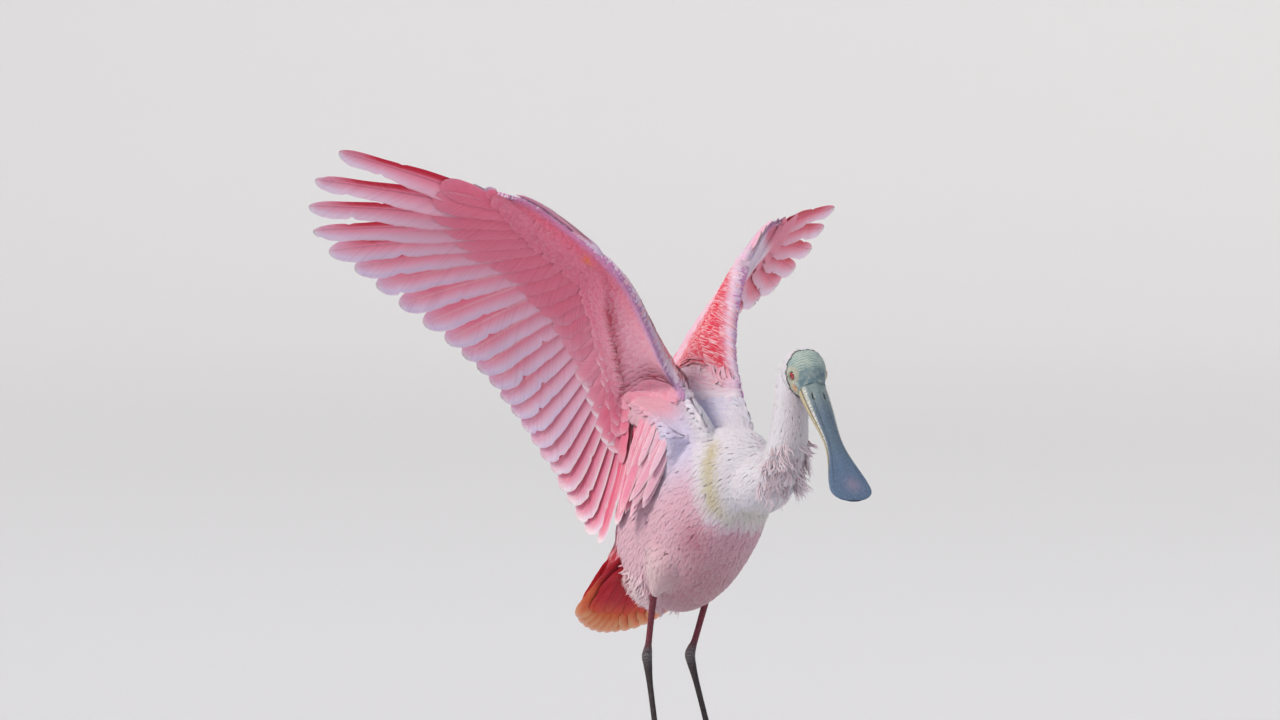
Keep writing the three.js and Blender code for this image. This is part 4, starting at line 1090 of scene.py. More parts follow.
def eyeball(side):
    away, around = rings(np.linspace(EYE_POLE, np.pi - EYE_POLE, 60), 56)
    axis = at([math.sin(EYE_TURN), math.cos(EYE_TURN), 0], side)
    sideways = np.cross(axis, UPWARD)
    radius = EYE_RADIUS - EYE_CLEAR + CORNEA_RISE * hump((away, 0, 0.5))
    ring = sideways * np.cos(around)[..., None] + UPWARD * np.sin(around)[..., None]
    outward = axis * np.cos(away)[..., None] + ring * np.sin(away)[..., None]
    points = at(EYE_PLACE, side) + outward * radius[..., None]
    rays = 0.5 + 0.5 * np.sin(around * 23) * np.sin(around * 9 + 1)
    inner = 1 - ramp(away, PUPIL_TURN, IRIS_TURN)
    paint = mixed(IRIS_RED, IRIS_LIGHT, 0.55 * inner * (0.4 + 0.6 * rays))
    pupil = 1 - ramp(away, PUPIL_TURN - 0.03, PUPIL_TURN + 0.03)
    rim = ramp(away, IRIS_TURN - 0.06, IRIS_TURN + 0.04)
    paint = mixed(paint, EYE_DARK, np.maximum(pupil, rim))
    return from_head(points.reshape(-1, 3)), grid_faces(*away.shape), paint


eye_finish = finish("wet eye", painted, 0.12, (), (("Coat Weight", 1.0), ("Coat Roughness", 0.03)))
for name, side in SIDES.items():
    points, faces, paint = eyeball(side)
    shown(f"eyeball_{name}", points, faces, eye_finish, [f"eye_{name}"], paint)


# The claws. Short black horn points, a little curved, one on each toe.
CLAW_LENGTH, CLAW_SUNK = 12.0, 1.0
CLAW_HALF_WIDTH, CLAW_HALF_HEIGHT, CLAW_UP = 1.7, 2.0, 2.6


def toe_claw(side, turn_out, share, rows=26, ring=14):
    way, across = toe_ways(turn_out, side)
    tip = at(FOOT_CENTRE, side) + way * (share * TOE_LENGTH * TOE_END)
    far, around = rings(np.linspace(0, 1, rows), ring)
    size = np.sqrt(1 - far ** 1.6) * 0.96 + 0.04
    middle = tip + way * (-CLAW_SUNK + far * (CLAW_LENGTH + CLAW_SUNK))[..., None]
    middle[..., 2] = CLAW_UP + 0.5 * np.sin(far * 2.4) - 1.8 * far ** 2
    sway = across * (CLAW_HALF_WIDTH * size * np.cos(around))[..., None]
    sway[..., 2] += CLAW_HALF_HEIGHT * size * np.sin(around)
    points = middle + sway
    points[..., 2] = np.maximum(points[..., 2], 0.05)
    return points.reshape(-1, 3), grid_faces(rows, ring)


CLAW_BLACK = colour("221d22")
claw_finish = finish("claw horn", horn_paint, 0.38, [relief(1400.0, 3.0, 0.1)])
for name, side in SIDES.items():
    for n, (turn_out, share) in enumerate(TOES, 1):
        points, faces = toe_claw(side, turn_out, share)
        paint = np.broadcast_to(CLAW_BLACK, points.shape)
        shown(f"claw_horn_{name}_{n}", points, faces, claw_finish, [f"claw_{name}_{n}"], paint)


# The flight feathers. Each has a stiff pale shaft and a thin vane on each side of it, a narrow one
# before it and a broad one behind. They lie like shingles, rose at the root and paler to the edges.
HALF_COLUMNS = [0.045, 0.14, 0.36, 0.62, 0.85, 1]
FLIGHT_COLUMNS = np.array([*(-place for place in HALF_COLUMNS[::-1]), 0, *HALF_COLUMNS])
COVERT_COLUMNS = np.array([-1, -0.7, -0.25, 0, 0.25, 0.7, 1])
SMALL_COLUMNS = np.array([-1, -0.5, 0, 0.5, 1])
SHINGLE_TILT, COVERT_TILT = math.radians(6), math.radians(4)
SMALL_TILT = 0.06
SHAFT_SHARE = 0.05
FINGERS, FINGER_LEAD, VANE_LEAD = 4, 0.34, 0.44
VANE_SUNK = 8
# The rose is partly the feathers' own colour and partly painted light, saturated as if lit through from
# behind.
ROSE_WITH_BACKLIGHT, UPPER_ROSE, LILAC = colour("ee7694"), colour("e23c68"), colour("f2d6ec")
PALE_ROSE, WEB_RED = colour("f0a3ba"), colour("c61737")
SHAFT_PALE, SHAFT_DARK = colour("f3dcdc"), colour("8e2436")
HOT_PINK, EDGE_WHITE, EDGE_SKY_SHADE = colour("e23f70"), colour("fbf3f8"), colour("cbbdee")


def vanes(centre, across, up, lead, trail, thick, columns, shaft=0.0, droop=0.0):
    """Thin closed vanes from rows of frames, with what their finish needs at each point.

    A ring's places run from -1 at the leading edge to 1 at the trailing one, over and then under.
    """
    ring_x = np.concatenate([columns, columns[-2:0:-1]])
    face = np.concatenate([np.ones(len(columns)), -np.ones(len(columns) - 2)])
    offset = np.where(ring_x < 0, lead[..., None], trail[..., None]) * ring_x
    height = face * (1 - np.abs(ring_x) ** 3) * np.asarray(thick)[..., None] / 2
    height = height + face * hump((ring_x, 0, SHAFT_SHARE)) * np.asarray(shaft)[..., None]
    height = height - np.asarray(droop)[..., None] * ring_x ** 2
    points = centre[..., None, :] + across[..., None, :] * offset[..., None]
    points = points + up[..., None, :] * height[..., None]
    count, rows, ring = points.shape[:3]
    quads, ends = grid_faces(rows, ring)
    starts = (np.arange(count) * rows * ring)[:, None, None]
    faces = [(quads + starts).reshape(-1, 4), (ends + starts).reshape(-1, ring)]
    x, face = np.broadcast_to(ring_x, offset.shape), np.broadcast_to(face, offset.shape)
    return points, faces, x, face, offset


def spread(values, x):
    """Values for the rows of some vanes, repeated for all the points of each row's ring."""
    return np.broadcast_to(values[..., None], x.shape)


def coat_piece(name, material, slot, points, faces, paint, barb, bake, normals=None, replaced=()):
    """A piece of plumage, with its colours, its barbs' directions and its map for baking."""
    piece = shown(name, points.reshape(-1, 3), faces, material, replaced, paint)
    mesh = piece.data
    layer = mesh.attributes.new("barb", "FLOAT_VECTOR", "POINT")
    layer.data.foreach_set("vector", barb.reshape(-1, 3).astype(np.float32).ravel())
    corners = np.empty(len(mesh.loops), int)
    mesh.loops.foreach_get("vertex_index", corners)
    mesh.uv_layers.new(name="OFBake")
    places = bake.reshape(-1, 2)[corners].astype(np.float32)
    mesh.uv_layers["OFBake"].data.foreach_set("uv", places.ravel())
    if normals is not None:
        level, sign, sizes = normals
        ways = level.reshape(-1, 3)[corners] * np.repeat(sign, sizes)[:, None]
        mesh.normals_split_custom_set(ways.astype(np.float32))
    return piece


def soft_normals(out, across, x, shown_face=1):
    """Normals that follow the coat as a whole, so that soft feathers blend into each other.

    They are given for each point, with the sign and the number of corners of each face of the vanes.
    """
    count, rows, ring = x.shape
    level = unit(out[..., None, :] + 0.16 * across[..., None, :] * x[..., None])
    around = np.where(np.arange(ring) < ring // 2, shown_face, -shown_face)
    sign = np.concatenate([np.tile(around, count * (rows - 1)), np.ones(count * 2)])
    sizes = np.concatenate([np.full(count * (rows - 1) * ring, 4), np.full(count * 2, ring)])
    return level, sign, sizes


def feather_finish(name, spacing, strength, sheen=0.25, strands=0.0):
    """Vanes are ribbed by barbs that slant out from the shaft, and mottled or streaked along them."""
    def parts(wire):
        vector = wire.node("ShaderNodeAttribute", {"attribute_name": "barb"}, None, ATTRIBUTE_VECTOR)
        return [vector.node("ShaderNodeSeparateXYZ", None, {0: vector}, n) for n in range(3)]

    def slant(wire):
        x, y, _ = parts(wire)
        return y - x.sum("ABSOLUTE", x) * 1.2

    def streak(wire, scale, detail=2.0):
        """Noise drawn out along the barbs, different on each feather."""
        inputs = {0: slant(wire) * scale, 1: parts(wire)[2] * 37.0, 2: 0.0}
        return wire.noise(wire.node("ShaderNodeCombineXYZ", None, inputs), 1.0, detail)

    def strand(wire):
        """Noise drawn out along the feather."""
        x, y, seed = parts(wire)
        inputs = {0: x * 0.6, 1: y * 0.07, 2: seed * 37.0}
        return wire.noise(wire.node("ShaderNodeCombineXYZ", None, inputs), 1.0, 2.0)

    def paint(wire):
        dark, light = streak(wire, 0.3).between(0.45, 0.75), streak(wire, 1.3).between(0.5, 0.8)
        tone = painted(wire).times("dcb4c4", dark * (0.4 * strength))
        tone = tone.towards("fbf3f7", light * (0.16 * strength))
        if not strands:
            return tone
        return tone.towards("fbe9f0", strand(wire).between(0.46, 0.66) * strands)

    def ribs(wire):
        return wire.sum("SINE", slant(wire) * (2 * math.pi / spacing))

    reliefs = ((lambda wire: streak(wire, 0.9, 4.0), 0.14 * strength), (ribs, 0.04))
    constants = (
        ("Sheen Weight", sheen), ("Sheen Roughness", 0.5), ("Specular IOR Level", 0.3),
        ("Subsurface Weight", 0.2), ("Subsurface Radius", (1.0, 0.4, 0.45)), ("Subsurface Scale", 1.6 * MM),
    )
    return finish(name, paint, 0.72, reliefs, constants)


def tilted(across, up, tilt):
    """The ways across and out of vanes that are turned about their shafts."""
    cos, sin = np.cos(tilt)[..., None], np.sin(tilt)[..., None]
    return across * cos - up * sin, up * cos + across * sin


def finger_width(share):
    """The narrowed end of the outermost primaries."""
    return 1 - 0.3 * ramp(share, 0.45, 0.78)


def shares(rows, power):
    """Shares of a feather's length, closer to each other towards its tip."""
    return 1 - (1 - np.linspace(0, 1, rows)) ** power


def rounded_end(share, start=0.86):
    return np.sqrt(np.clip(1 - (np.clip(share - start, 0, 1) / (1 - start)) ** 2.2, 0.004, 1))


def flight_vanes(wing, i, rows=44):
    """The flight feathers at numbers i, from their roots in the arm to their tips."""
    dice = np.random.default_rng(17 + wing.side)
    share = shares(rows, 1.5)[None, :]
    i = i[:, None]
    start = arm_reach(i) - VANE_SUNK
    stretch = 1 + dice.normal(0, 0.006, i.shape)
    r = start + share * (flight_length(i) * stretch - start)
    centre, _, across, up, spacing = wing.frame(i, r)
    finger = i < FINGERS
    lead_share = np.where(finger, FINGER_LEAD, VANE_LEAD)
    body = 0.35 + 0.65 * ramp(share, 0, 0.28)
    body = body * np.where(finger, finger_width(share), 1) * rounded_end(share)
    phase = dice.uniform(0, 2 * np.pi, (2, *i.shape))
    ripple = 1 + 0.025 * np.sin(r * 0.19 + phase[0]) + 0.018 * np.sin(r * 0.47 + phase[1])
    # A few gaps, where the barbs have come apart at an edge.
    gap_at = dice.uniform(0.5, 0.97, (2, *i.shape))
    gaps = [1 - 0.22 * hump((share, place, 0.012)) for place in gap_at]
    width = flight_width(i)
    lead = np.minimum(width * lead_share * body * gaps[0], 0.86 * spacing)
    trail = np.minimum(width * (1 - lead_share) * body * ripple * gaps[1], 1.12 * spacing)
    tilt = SHINGLE_TILT + 0.02 * np.sin(phase[0])
    flat, out = tilted(across, up, tilt)
    points, faces, x, face, offset = vanes(
        centre, flat, out, lead, trail, 0.55 - 0.25 * share, FLIGHT_COLUMNS,
        shaft=0.75 * (1 - share) ** 0.7 + 0.08, droop=0.045 * width * (0.3 + share))
    wave = 0.35 * np.sin(r * 0.11 + phase[1])[..., None] * x ** 2 * np.abs(x)
    points = points + out[..., None, :] * wave[..., None]
    s, n = spread(share, x), spread(i, x)
    barb = np.stack([offset, spread(r, x), n / FLIGHTS], -1)
    return points, faces, n, s, x, face, barb, soft_normals(out, flat, x)


def flight_paint(n, s, x, lit):
    """Rose at the root and before the shaft, deeper there as painted light through the overlapping
    neighbour, lilac-white to the trailing edge and the tip.

    The hand's feathers are a hotter pink where they are lit.
    """
    trailing, light_through_overlap = ramp(x, -0.1, 0.95), ramp(-x, 0.0, 0.6)
    inner, upper = ramp(n, 15, 20), lit * (1 - ramp(n, 10, 15))
    pale = 0.1 + 0.8 * trailing * (0.4 + 0.6 * ramp(s, 0.15, 0.85)) + 0.36 * ramp(s, 0.78, 1.0)
    # The leading web is painted a deeper rose, as light shining through two overlapping vanes.
    pale = pale - 0.1 * light_through_overlap * (1 - ramp(s, 0.7, 1.0)) - 0.15 * upper * (1 - ramp(s, 0.6, 1.0))
    paint = mixed(mixed(ROSE_WITH_BACKLIGHT, UPPER_ROSE, 0.8 * upper), LILAC, np.clip(pale, 0, 1))
    # Painted blue shade from the sky along the trailing edges and at the tips.
    sky_shade = ramp(x, 0.45, 1.0) * ramp(s, 0.3, 0.8) + 0.6 * ramp(s, 0.88, 1.0)
    sky_shade = np.clip(0.45 * sky_shade, 0, 0.5) * ramp(n, 2, 5) * (1 - inner) * (1 - 0.8 * upper)
    paint = mixed(paint, EDGE_SKY_SHADE, sky_shade)
    hot = inner * (0.8 - 0.45 * trailing) * (1 - ramp(s, 0.82, 1.0))
    paint = mixed(paint, HOT_PINK, np.clip(0.85 * hot, 0, 1))
    edge = inner * np.maximum(ramp(np.abs(x), 0.78, 0.99), ramp(s, 0.92, 1.0))
    paint = mixed(paint, EDGE_WHITE, np.maximum(0.85 * edge, 0.5 * (1 - inner) * ramp(s, 0.955, 1.0)))
    # The front web of the first primary is red along its length, those of the next ones in part.
    first = (1 - ramp(n, 0.3, 0.8)) * (1 - 0.7 * ramp(s, 0.55, 0.85))
    others = (1 - ramp(n, 4.4, 6.4)) * ramp(s, 0.42, 0.6) * (1 - ramp(s, 0.72, 0.96))
    red = np.maximum(first, others) * ramp(-x, 0.15, 0.5)
    paint = mixed(paint, WEB_RED, np.clip(1.15 * red, 0, 1))
    shaft = hump((x, 0, SHAFT_SHARE)) * (1 - 0.5 * s)
    return mixed(paint, mixed(SHAFT_PALE, SHAFT_DARK, 1 - ramp(n, 2, 8)), 0.6 * shaft)


def wide_map(n, count, s, x, face):
    """A map with a strip for each large feather, its upper face above its under face."""
    return np.stack([(n + 0.5 + 0.45 * x) / count, (0.02 + 0.94 * s + (face > 0)) / 2], -1)


vane_finish = feather_finish("flight feather vanes", 0.9, 0.7)
for name, wing in wings.items():
    points, faces, n, s, x, face, barb, normals = flight_vanes(wing, np.arange(FLIGHTS, dtype=float))
    paint = flight_paint(n, s, x, (face > 0) | (wing.side == LEFT))
    arm = [f"wing_{name}_{part}" for part in ("hand", "forearm", "upper_arm")]
    coat_piece(
        f"flight_feathers_{name}", vane_finish, "wing_feathers", points, faces, paint, barb,
        wide_map(n, FLIGHTS, s, x, face), normals, arm)


# The coverts. Smaller feathers lie in rows over and under the arm and the flight feathers' roots:
# one greater covert on each flight feather, then ever smaller rows up to the front edge.
# The salmon is partly the coverts' own colour and partly painted light, saturated as if lit through from
# behind.
SALMON_WITH_BACKLIGHT, FRONT_SHADE_MAUVE, CARMINE = colour("e8607e"), colour("ae90d2"), colour("e0103c")
CREASE_SHADOW_RED, WRIST_ORANGE, LIT_HAND_WHITE = colour("b92446"), colour("f0703a"), colour("f1dcf0")
SHOULDER_WHITE, HAND_LILAC = colour("f4ecf5"), colour("dcbfe0")
OVER, UNDER = 1, -1
GREAT_COVERTS = {OVER: 22, UNDER: 24}
# The rows of small coverts start a little round the front edge and end short of the shoulder.
WRAP, COVERTS_START, COVERTS_END = 4.0, -1.25, 23.6


def under_paint(far, n, m, long, back, front, fringe, s, chance):
    """Salmon rose, with painted shade in mauve along the front edge and as a red line along the crease, and
    a spot at the wrist.
    """
    paint = mixed(SALMON_WITH_BACKLIGHT, ROSE_WITH_BACKLIGHT, 0.7 * ramp(back, 0.5, 1.3))
    pale = 0.75 * ramp(n, 10, 17) * (1 - 0.6 * ramp(back, 0.9, 1.4)) + 0.14 * chance
    paint = mixed(paint, PALE_ROSE, pale)
    # Painted shade, in mauve, along the arm's front edge.
    paint = mixed(paint, FRONT_SHADE_MAUVE, 0.6 * front)
    # A painted red shadow along the crease beside the bulge of the forearm.
    crease_shade = hump((m - long, -1, 6.5)) * ramp(n, 10.5, 14) * (1 - ramp(n, 21.5, 24.5))
    paint = mixed(paint, CREASE_SHADOW_RED, 0.95 * crease_shade)
    paint = mixed(paint, WRIST_ORANGE, 0.9 * hump((n, 7.6, 0.5), (m, 14, 3.5)))
    hot = 0.5 * ramp(n, 18, 21) * ramp(back, 1.0, 1.3) * (1 - ramp(s, 0.6, 0.95))
    paint = mixed(paint, HOT_PINK, hot)
    glint = ramp(s, 0.86, 0.96) * ramp(n, 15, 17) * (1 - ramp(n, 21.5, 23)) * ramp(back, 1.3, 1.7)
    paint = mixed(paint, EDGE_WHITE, 0.75 * glint)
    # The shoulder takes the back's white, with its lavender tint of painted sky shade.
    paint = mixed(paint, BACK_WHITE_SKY_SHADED, 0.75 * ramp(n + 0.6 * (1 - back), 25.2, 28))
    paint = mixed(paint, LILAC, 0.4 * fringe * (1 - 0.6 * (1 - ramp(n, 9, 12))))
    if not far:
        return paint
    # The far hand's under face is painted a lilac-white brighter than the hand's own lilac: painted light.
    hand = 0.85 * ramp(n, 1, 4) * (1 - ramp(n, 8.5, 10.5)) * (1 - ramp(back, 1.5, 3.0))
    return mixed(paint, LIT_HAND_WHITE, hand)


def over_paint(n, m, back, front, fringe, x, chance):
    """A carmine bar of streaks between pale rows, white at the shoulder, with lilac painted shade along the
    front edge.
    """
    paint = mixed(PALE_ROSE, LILAC, 0.3 + 0.4 * chance)
    bar = ramp(n, 8.2, 11.5) * (1 - ramp(n, 21.2, 23.2)) * ramp(m, 3, 10) * (1 - ramp(back, 1.1, 2.0))
    flecks = (chance > 0.62) * ramp(n, 9, 11) * (1 - ramp(n, 18, 21)) * front
    streaks = np.clip(bar * 1.3 - 0.4 * chance + 0.7 * flecks, 0, 1)
    paint = mixed(paint, CARMINE, streaks * (1 - 0.45 * ramp(np.abs(x), 0.4, 0.95)))
    hand = 1 - ramp(n, 7.2, 9.6)
    # Painted shade, in lilac, along the front edge.
    front_shade = front * ramp(n, 8, 10) * (1 - flecks)
    paint = mixed(paint, HAND_LILAC, np.clip(0.85 * hand + 0.7 * front_shade, 0, 1))
    paint = mixed(paint, SHOULDER_WHITE, ramp(n + 1.0 * back, 22.2, 24.0))
    return mixed(paint, EDGE_WHITE, 0.16 * fringe)


def covert_paint(wing, face, n, m, long, s, x, chance):
    """The colours of a covert at places m behind the front edge, on an arm whose front is long."""
    back = np.maximum(m, 0) / long
    front = 1 - ramp(m, -1, 9 + 6 * ramp(n, 9, 14))
    fringe = np.clip(0.35 * np.abs(x) ** 3 + 0.5 * ramp(s, 0.65, 1.0), 0, 1)
    if face == OVER:
        return over_paint(n, m, back, front, fringe, x, chance)
    return under_paint(wing.side == LEFT, n, m, long, back, front, fringe, s, chance)


def great_coverts(wing, face, rows=26):
    """One greater covert on each flight feather, over or under its root."""
    dice = np.random.default_rng(31 + wing.side + 7 * face)
    share = shares(rows, 1.4)[None, :]
    i = np.arange(GREAT_COVERTS[face])
    i = (i + dice.normal(0, 0.03, i.size))[:, None]
    start = arm_reach(i) - VANE_SUNK
    reach = 0.45 - (0.15 * (1 - ramp(i, 6, 11)) if face == OVER else 0)
    end = flight_length(i) * (reach + dice.normal(0, 0.012, i.shape))
    r = start + share * (end - start)
    lift = face * (arm_wall(i) - 1.6 - (0.6 + 2.2 * share) * share)
    centre, _, across, up, spacing = wing.frame(i, r, lift)
    body = (0.45 + 0.55 * ramp(share, 0, 0.4)) * rounded_end(share, 0.72)
    half = np.minimum(flight_width(i) * 0.46 * body, spacing * 0.95)
    phase = dice.uniform(0, 2 * np.pi, i.shape)
    trail = half * (1 + 0.05 * np.sin(r * 0.4 + phase))
    flat, out = tilted(across, up, COVERT_TILT)
    points, faces, x, side_face, offset = vanes(
        centre, flat, out, half, trail, 0.45, COVERT_COLUMNS, 0.35 * (1 - share), -face * 0.05 * half)
    n, s = spread(i, x), spread(share, x)
    long = wing.section(i[:, 0])[2][:, None, None]
    chance = dice.uniform(0, 1, i.shape)[..., None]
    paint = covert_paint(wing, face, n, long + r[..., None], long, s, x, chance)
    barb = np.stack([offset, spread(r, x), n / 31 + 0.3], -1)
    bake = wide_map(np.round(n), FLIGHTS, s, x, side_face)
    return points, faces, paint, barb, bake, soft_normals(face * out, across, x, face)


def covert_rows(wing, face, tiers, dice):
    """The numbers along the wing, places behind the front edge and lengths of the small coverts."""
    fine = np.linspace(COVERTS_START, COVERTS_END, 240)
    roots, places, sizes = [], [], []
    whole = wing.section(fine)[2] + arm_reach(fine) - VANE_SUNK
    for tier in range(tiers):
        m = (whole + WRAP) * (1 - (tier + 0.6) / tiers) ** 1.1 - WRAP
        line, _ = wing.on_arm(fine, m, face)
        travelled = np.concatenate([[0], np.cumsum(np.linalg.norm(np.diff(line, axis=0), axis=1))])
        first = 1.35 if tier == 0 else 1
        size = np.clip(2.7 * whole / tiers, 12, 28) * first * (0.6 + 0.4 * ramp(m, 0, 16))
        count = int(travelled[-1] / np.mean(0.31 * size))
        even = (np.arange(count) + 0.5 * (tier % 2) + dice.normal(0, 0.16, count)) / count * travelled[-1]
        n = np.interp(even, travelled, fine)
        roots.append(n)
        places.append(np.interp(n, fine, m) + dice.normal(0, 1.0, count))
        sizes.append(np.interp(n, fine, size) * dice.uniform(0.86, 1.14, count))
    return (np.concatenate(some)[:, None] for some in (roots, places, sizes))


def small_coverts(wing, face, tiers=14, rows=6):
    """Rows of short coverts, each over the roots of the next, from the quills to the front edge."""
    dice = np.random.default_rng(53 + wing.side + 7 * face)
    i, m, size = covert_rows(wing, face, tiers, dice)
    share = shares(rows, 1.4)[None, :]
    drift = dice.normal(-0.008, 0.010, i.shape)
    n = np.clip(i + drift * share * size, -1.4, COVERTS_END + 0.3)
    away = m + share * size
    lift = -0.5 + (1.0 + 0.8 * ramp(m, 0, 12)) * share ** 0.8 + dice.uniform(-0.1, 0.25, i.shape)
    centre, out_there = wing.on_arm(n, away, face, lift)
    along = unit(np.gradient(centre, axis=1))
    up = face * out_there
    up = unit(up - along * np.sum(up * along, -1, keepdims=True))
    across = np.cross(up, along) * wing.side
    half = 0.38 * size * (0.5 + 0.5 * ramp(share, 0, 0.45)) * rounded_end(share, 0.4)
    flat, out = tilted(across, up, SMALL_TILT * face)
    points, faces, x, _, offset = vanes(
        centre, flat, out, half, half, 0.5 - 0.25 * share, SMALL_COLUMNS, droop=face * 0.12 * half)
    s = spread(share, x)
    long = wing.section(i[:, 0])[2][:, None, None]
    chance = dice.uniform(0, 1, i.shape)[..., None]
    paint = covert_paint(wing, face, spread(n, x), spread(away, x), long, s, x, chance)
    barb = np.stack([offset, s * size[..., None], np.broadcast_to(chance, x.shape)], -1)
    u = 0.03 + 0.94 * (i - PAST_TIP) / (SUNK - PAST_TIP)
    v = 0.05 + 0.9 * (m + WRAP) / 160
    bake = np.stack([u[..., None] + 0.0015 * x, v[..., None] + 0.003 * (s - 0.5)], -1)
    normals = soft_normals(unit(0.5 * face * up + 0.5 * out_there), across, x, face)
    return points, faces, paint, barb, bake, normals


covert_finish = feather_finish("covert vanes", 0.7, 0.7)
streaked_finish = feather_finish("streaked upper covert vanes", 0.7, 0.7, 0.25, 0.55)
for name, wing in wings.items():
    for where, face, slot, small_finish in (
            ("over", OVER, "carmine_feathers", streaked_finish),
            ("under", UNDER, "wing_feathers", covert_finish)):
        coat_piece(f"greater_coverts_{where}_{name}", covert_finish, slot, *great_coverts(wing, face))
        coat_piece(f"small_coverts_{where}_{name}", small_finish, slot, *small_coverts(wing, face))


# The alula. Three short stiff feathers on the thumb, along the front of the hand.
ALULA_FEATHERS = [
    # number at the root, number at the tip, clear of the edge, half width
    (7.6, -0.4, 2.4, 6.6), (7.7, 1.4, 3.6, 7), (7.8, 3.2, 4.8, 6.6),
]
ALULA_LENGTH = 90
ALULA_TURN = math.radians(52)


def alula_vanes(wing, rows=24):
    share = np.linspace(0, 1, rows)[None, :]
    start, end, clear, half = (np.array(some)[:, None] for some in zip(*ALULA_FEATHERS))
    n = start + (end - start) * share
    front, chord, _, flat, *_ = wing.section(n)
    across = chord * np.cos(ALULA_TURN) + flat * np.sin(ALULA_TURN)
    out = flat * np.cos(ALULA_TURN) - chord * np.sin(ALULA_TURN)
    width = half * ((0.45 + 0.55 * ramp(share, 0, 0.3)) * rounded_end(share, 0.6))
    points, faces, x, face, offset = vanes(
        front + out * clear[..., None], across, out, width, width, 0.5, COVERT_COLUMNS,
        0.4 * (1 - share), 0.05 * width)
    s = spread(share, x)
    paint = mixed(PALE_ROSE, HAND_LILAC, 0.4 + 0.3 * np.sin(3 * x))
    paint = mixed(paint, EDGE_WHITE, 0.5 * ramp(np.abs(x), 0.6, 1))
    count = len(ALULA_FEATHERS)
    order = np.broadcast_to(np.arange(float(count))[:, None, None], x.shape)
    barb = np.stack([offset, s * ALULA_LENGTH, order / count], -1)
    return points, faces, paint, barb, wide_map(order, count, s, x, face)


for name, wing in wings.items():
    coat_piece(
        f"alula_feathers_{name}", vane_finish, "wing_feathers", *alula_vanes(wing),
        replaced=[f"wing_{name}_alula"])


# The tail. A short fan of twelve orange feathers, with red coverts in rows over and under it.
TAIL_ROOT, TAIL_LENGTH, RECTRICES = [-72, 0, 226], 108, 12
TAIL_DROOP, TAIL_SPREAD = math.radians(63), math.radians(28)
TAIL_MIDDLE = (RECTRICES - 1) / 2
TAIL_SPACING, TAIL_HALF_WIDTH = 3.0, 13.0
TAIL_COVERTS, TAIL_TIERS = 15, 4
TAIL_ORANGE, TAIL_PALE, COVERT_RED = colour("f0703a"), colour("f7bd8c"), colour("dc142e")


def tail_frame(j, r, lift):
    j, r, lift = np.broadcast_arrays(*(np.asarray(v, float) for v in (j, r, lift)))

    def spot(number):
        turn = TAIL_SPREAD * (number - TAIL_MIDDLE) / TAIL_MIDDLE
        cos, sin = np.cos(turn), np.sin(turn)
        way = at(np.stack([-math.cos(TAIL_DROOP) * cos, -sin, -math.sin(TAIL_DROOP) * cos], -1))
        out = -(number - TAIL_MIDDLE) * TAIL_SPACING
        root = at(np.stack([TAIL_ROOT[0] + 0 * out, out, TAIL_ROOT[2] + 0 * out], -1))
        return root + way * r[..., None], way

    centre, along = spot(j)
    across = spot(j + 0.4)[0] - spot(j - 0.4)[0]
    across = unit(across - along * np.sum(across * along, -1, keepdims=True))
    up = np.cross(along, across)
    return centre + up * lift[..., None], across, up


def tail_vanes(j, start, length, half, lift, columns, rows, end_at, shaft, seed):
    """Feathers of the tail at numbers j, which round off past a share of their length."""
    dice = np.random.default_rng(seed)
    share = shares(rows, 1.5)[None, :]
    r = start + share * length
    centre, across, up = tail_frame(j, r, lift(share))
    phase = dice.uniform(0, 2 * np.pi, j.shape)
    body = (0.45 + 0.55 * ramp(share, 0, 0.35)) * rounded_end(share, end_at)
    body = body * (1 + 0.03 * np.sin(r * 0.35 + phase))
    gap = 1 - 0.2 * hump((share, dice.uniform(0.6, 0.95, j.shape), 0.012))
    points, faces, x, face, offset = vanes(
        centre, across, up, half * body, half * body * gap, 0.5, columns, shaft * (1 - share),
        0.05 * half * body)
    barb = np.stack([offset, spread(r, x), spread(phase, x)], -1)
    return points, faces, x, face, spread(share, x), barb, (up, across)


def build_tail():
    j = np.arange(RECTRICES, dtype=float)[:, None]
    order = 2 * np.abs(j - TAIL_MIDDLE) - (j < TAIL_MIDDLE)
    layer = (TAIL_MIDDLE - order) * 1.05
    length = TAIL_LENGTH * (1 - 0.004 * (j - TAIL_MIDDLE) ** 2)
    points, faces, x, face, s, barb, (up, across) = tail_vanes(
        j, 0, length, TAIL_HALF_WIDTH, lambda share: layer * (1 - 0.45 * share), FLIGHT_COLUMNS,
        44, 0.82, 0.5, 71)
    paint = mixed(TAIL_RED, TAIL_ORANGE, ramp(s, 0.42, 0.72) * (0.85 + 0.15 * np.abs(x)))
    paint = mixed(paint, TAIL_PALE, 0.85 * ramp(s + 0.1 * np.abs(x), 0.84, 1.06))
    paint = mixed(paint, EDGE_WHITE, 0.35 * ramp(s, 0.95, 1.0))
    coat_piece(
        "tail_feathers", vane_finish, "tail_feathers", points, faces, paint, barb,
        wide_map(spread(j, x), RECTRICES, s, x, face), soft_normals(up, across, x), ["tail"])


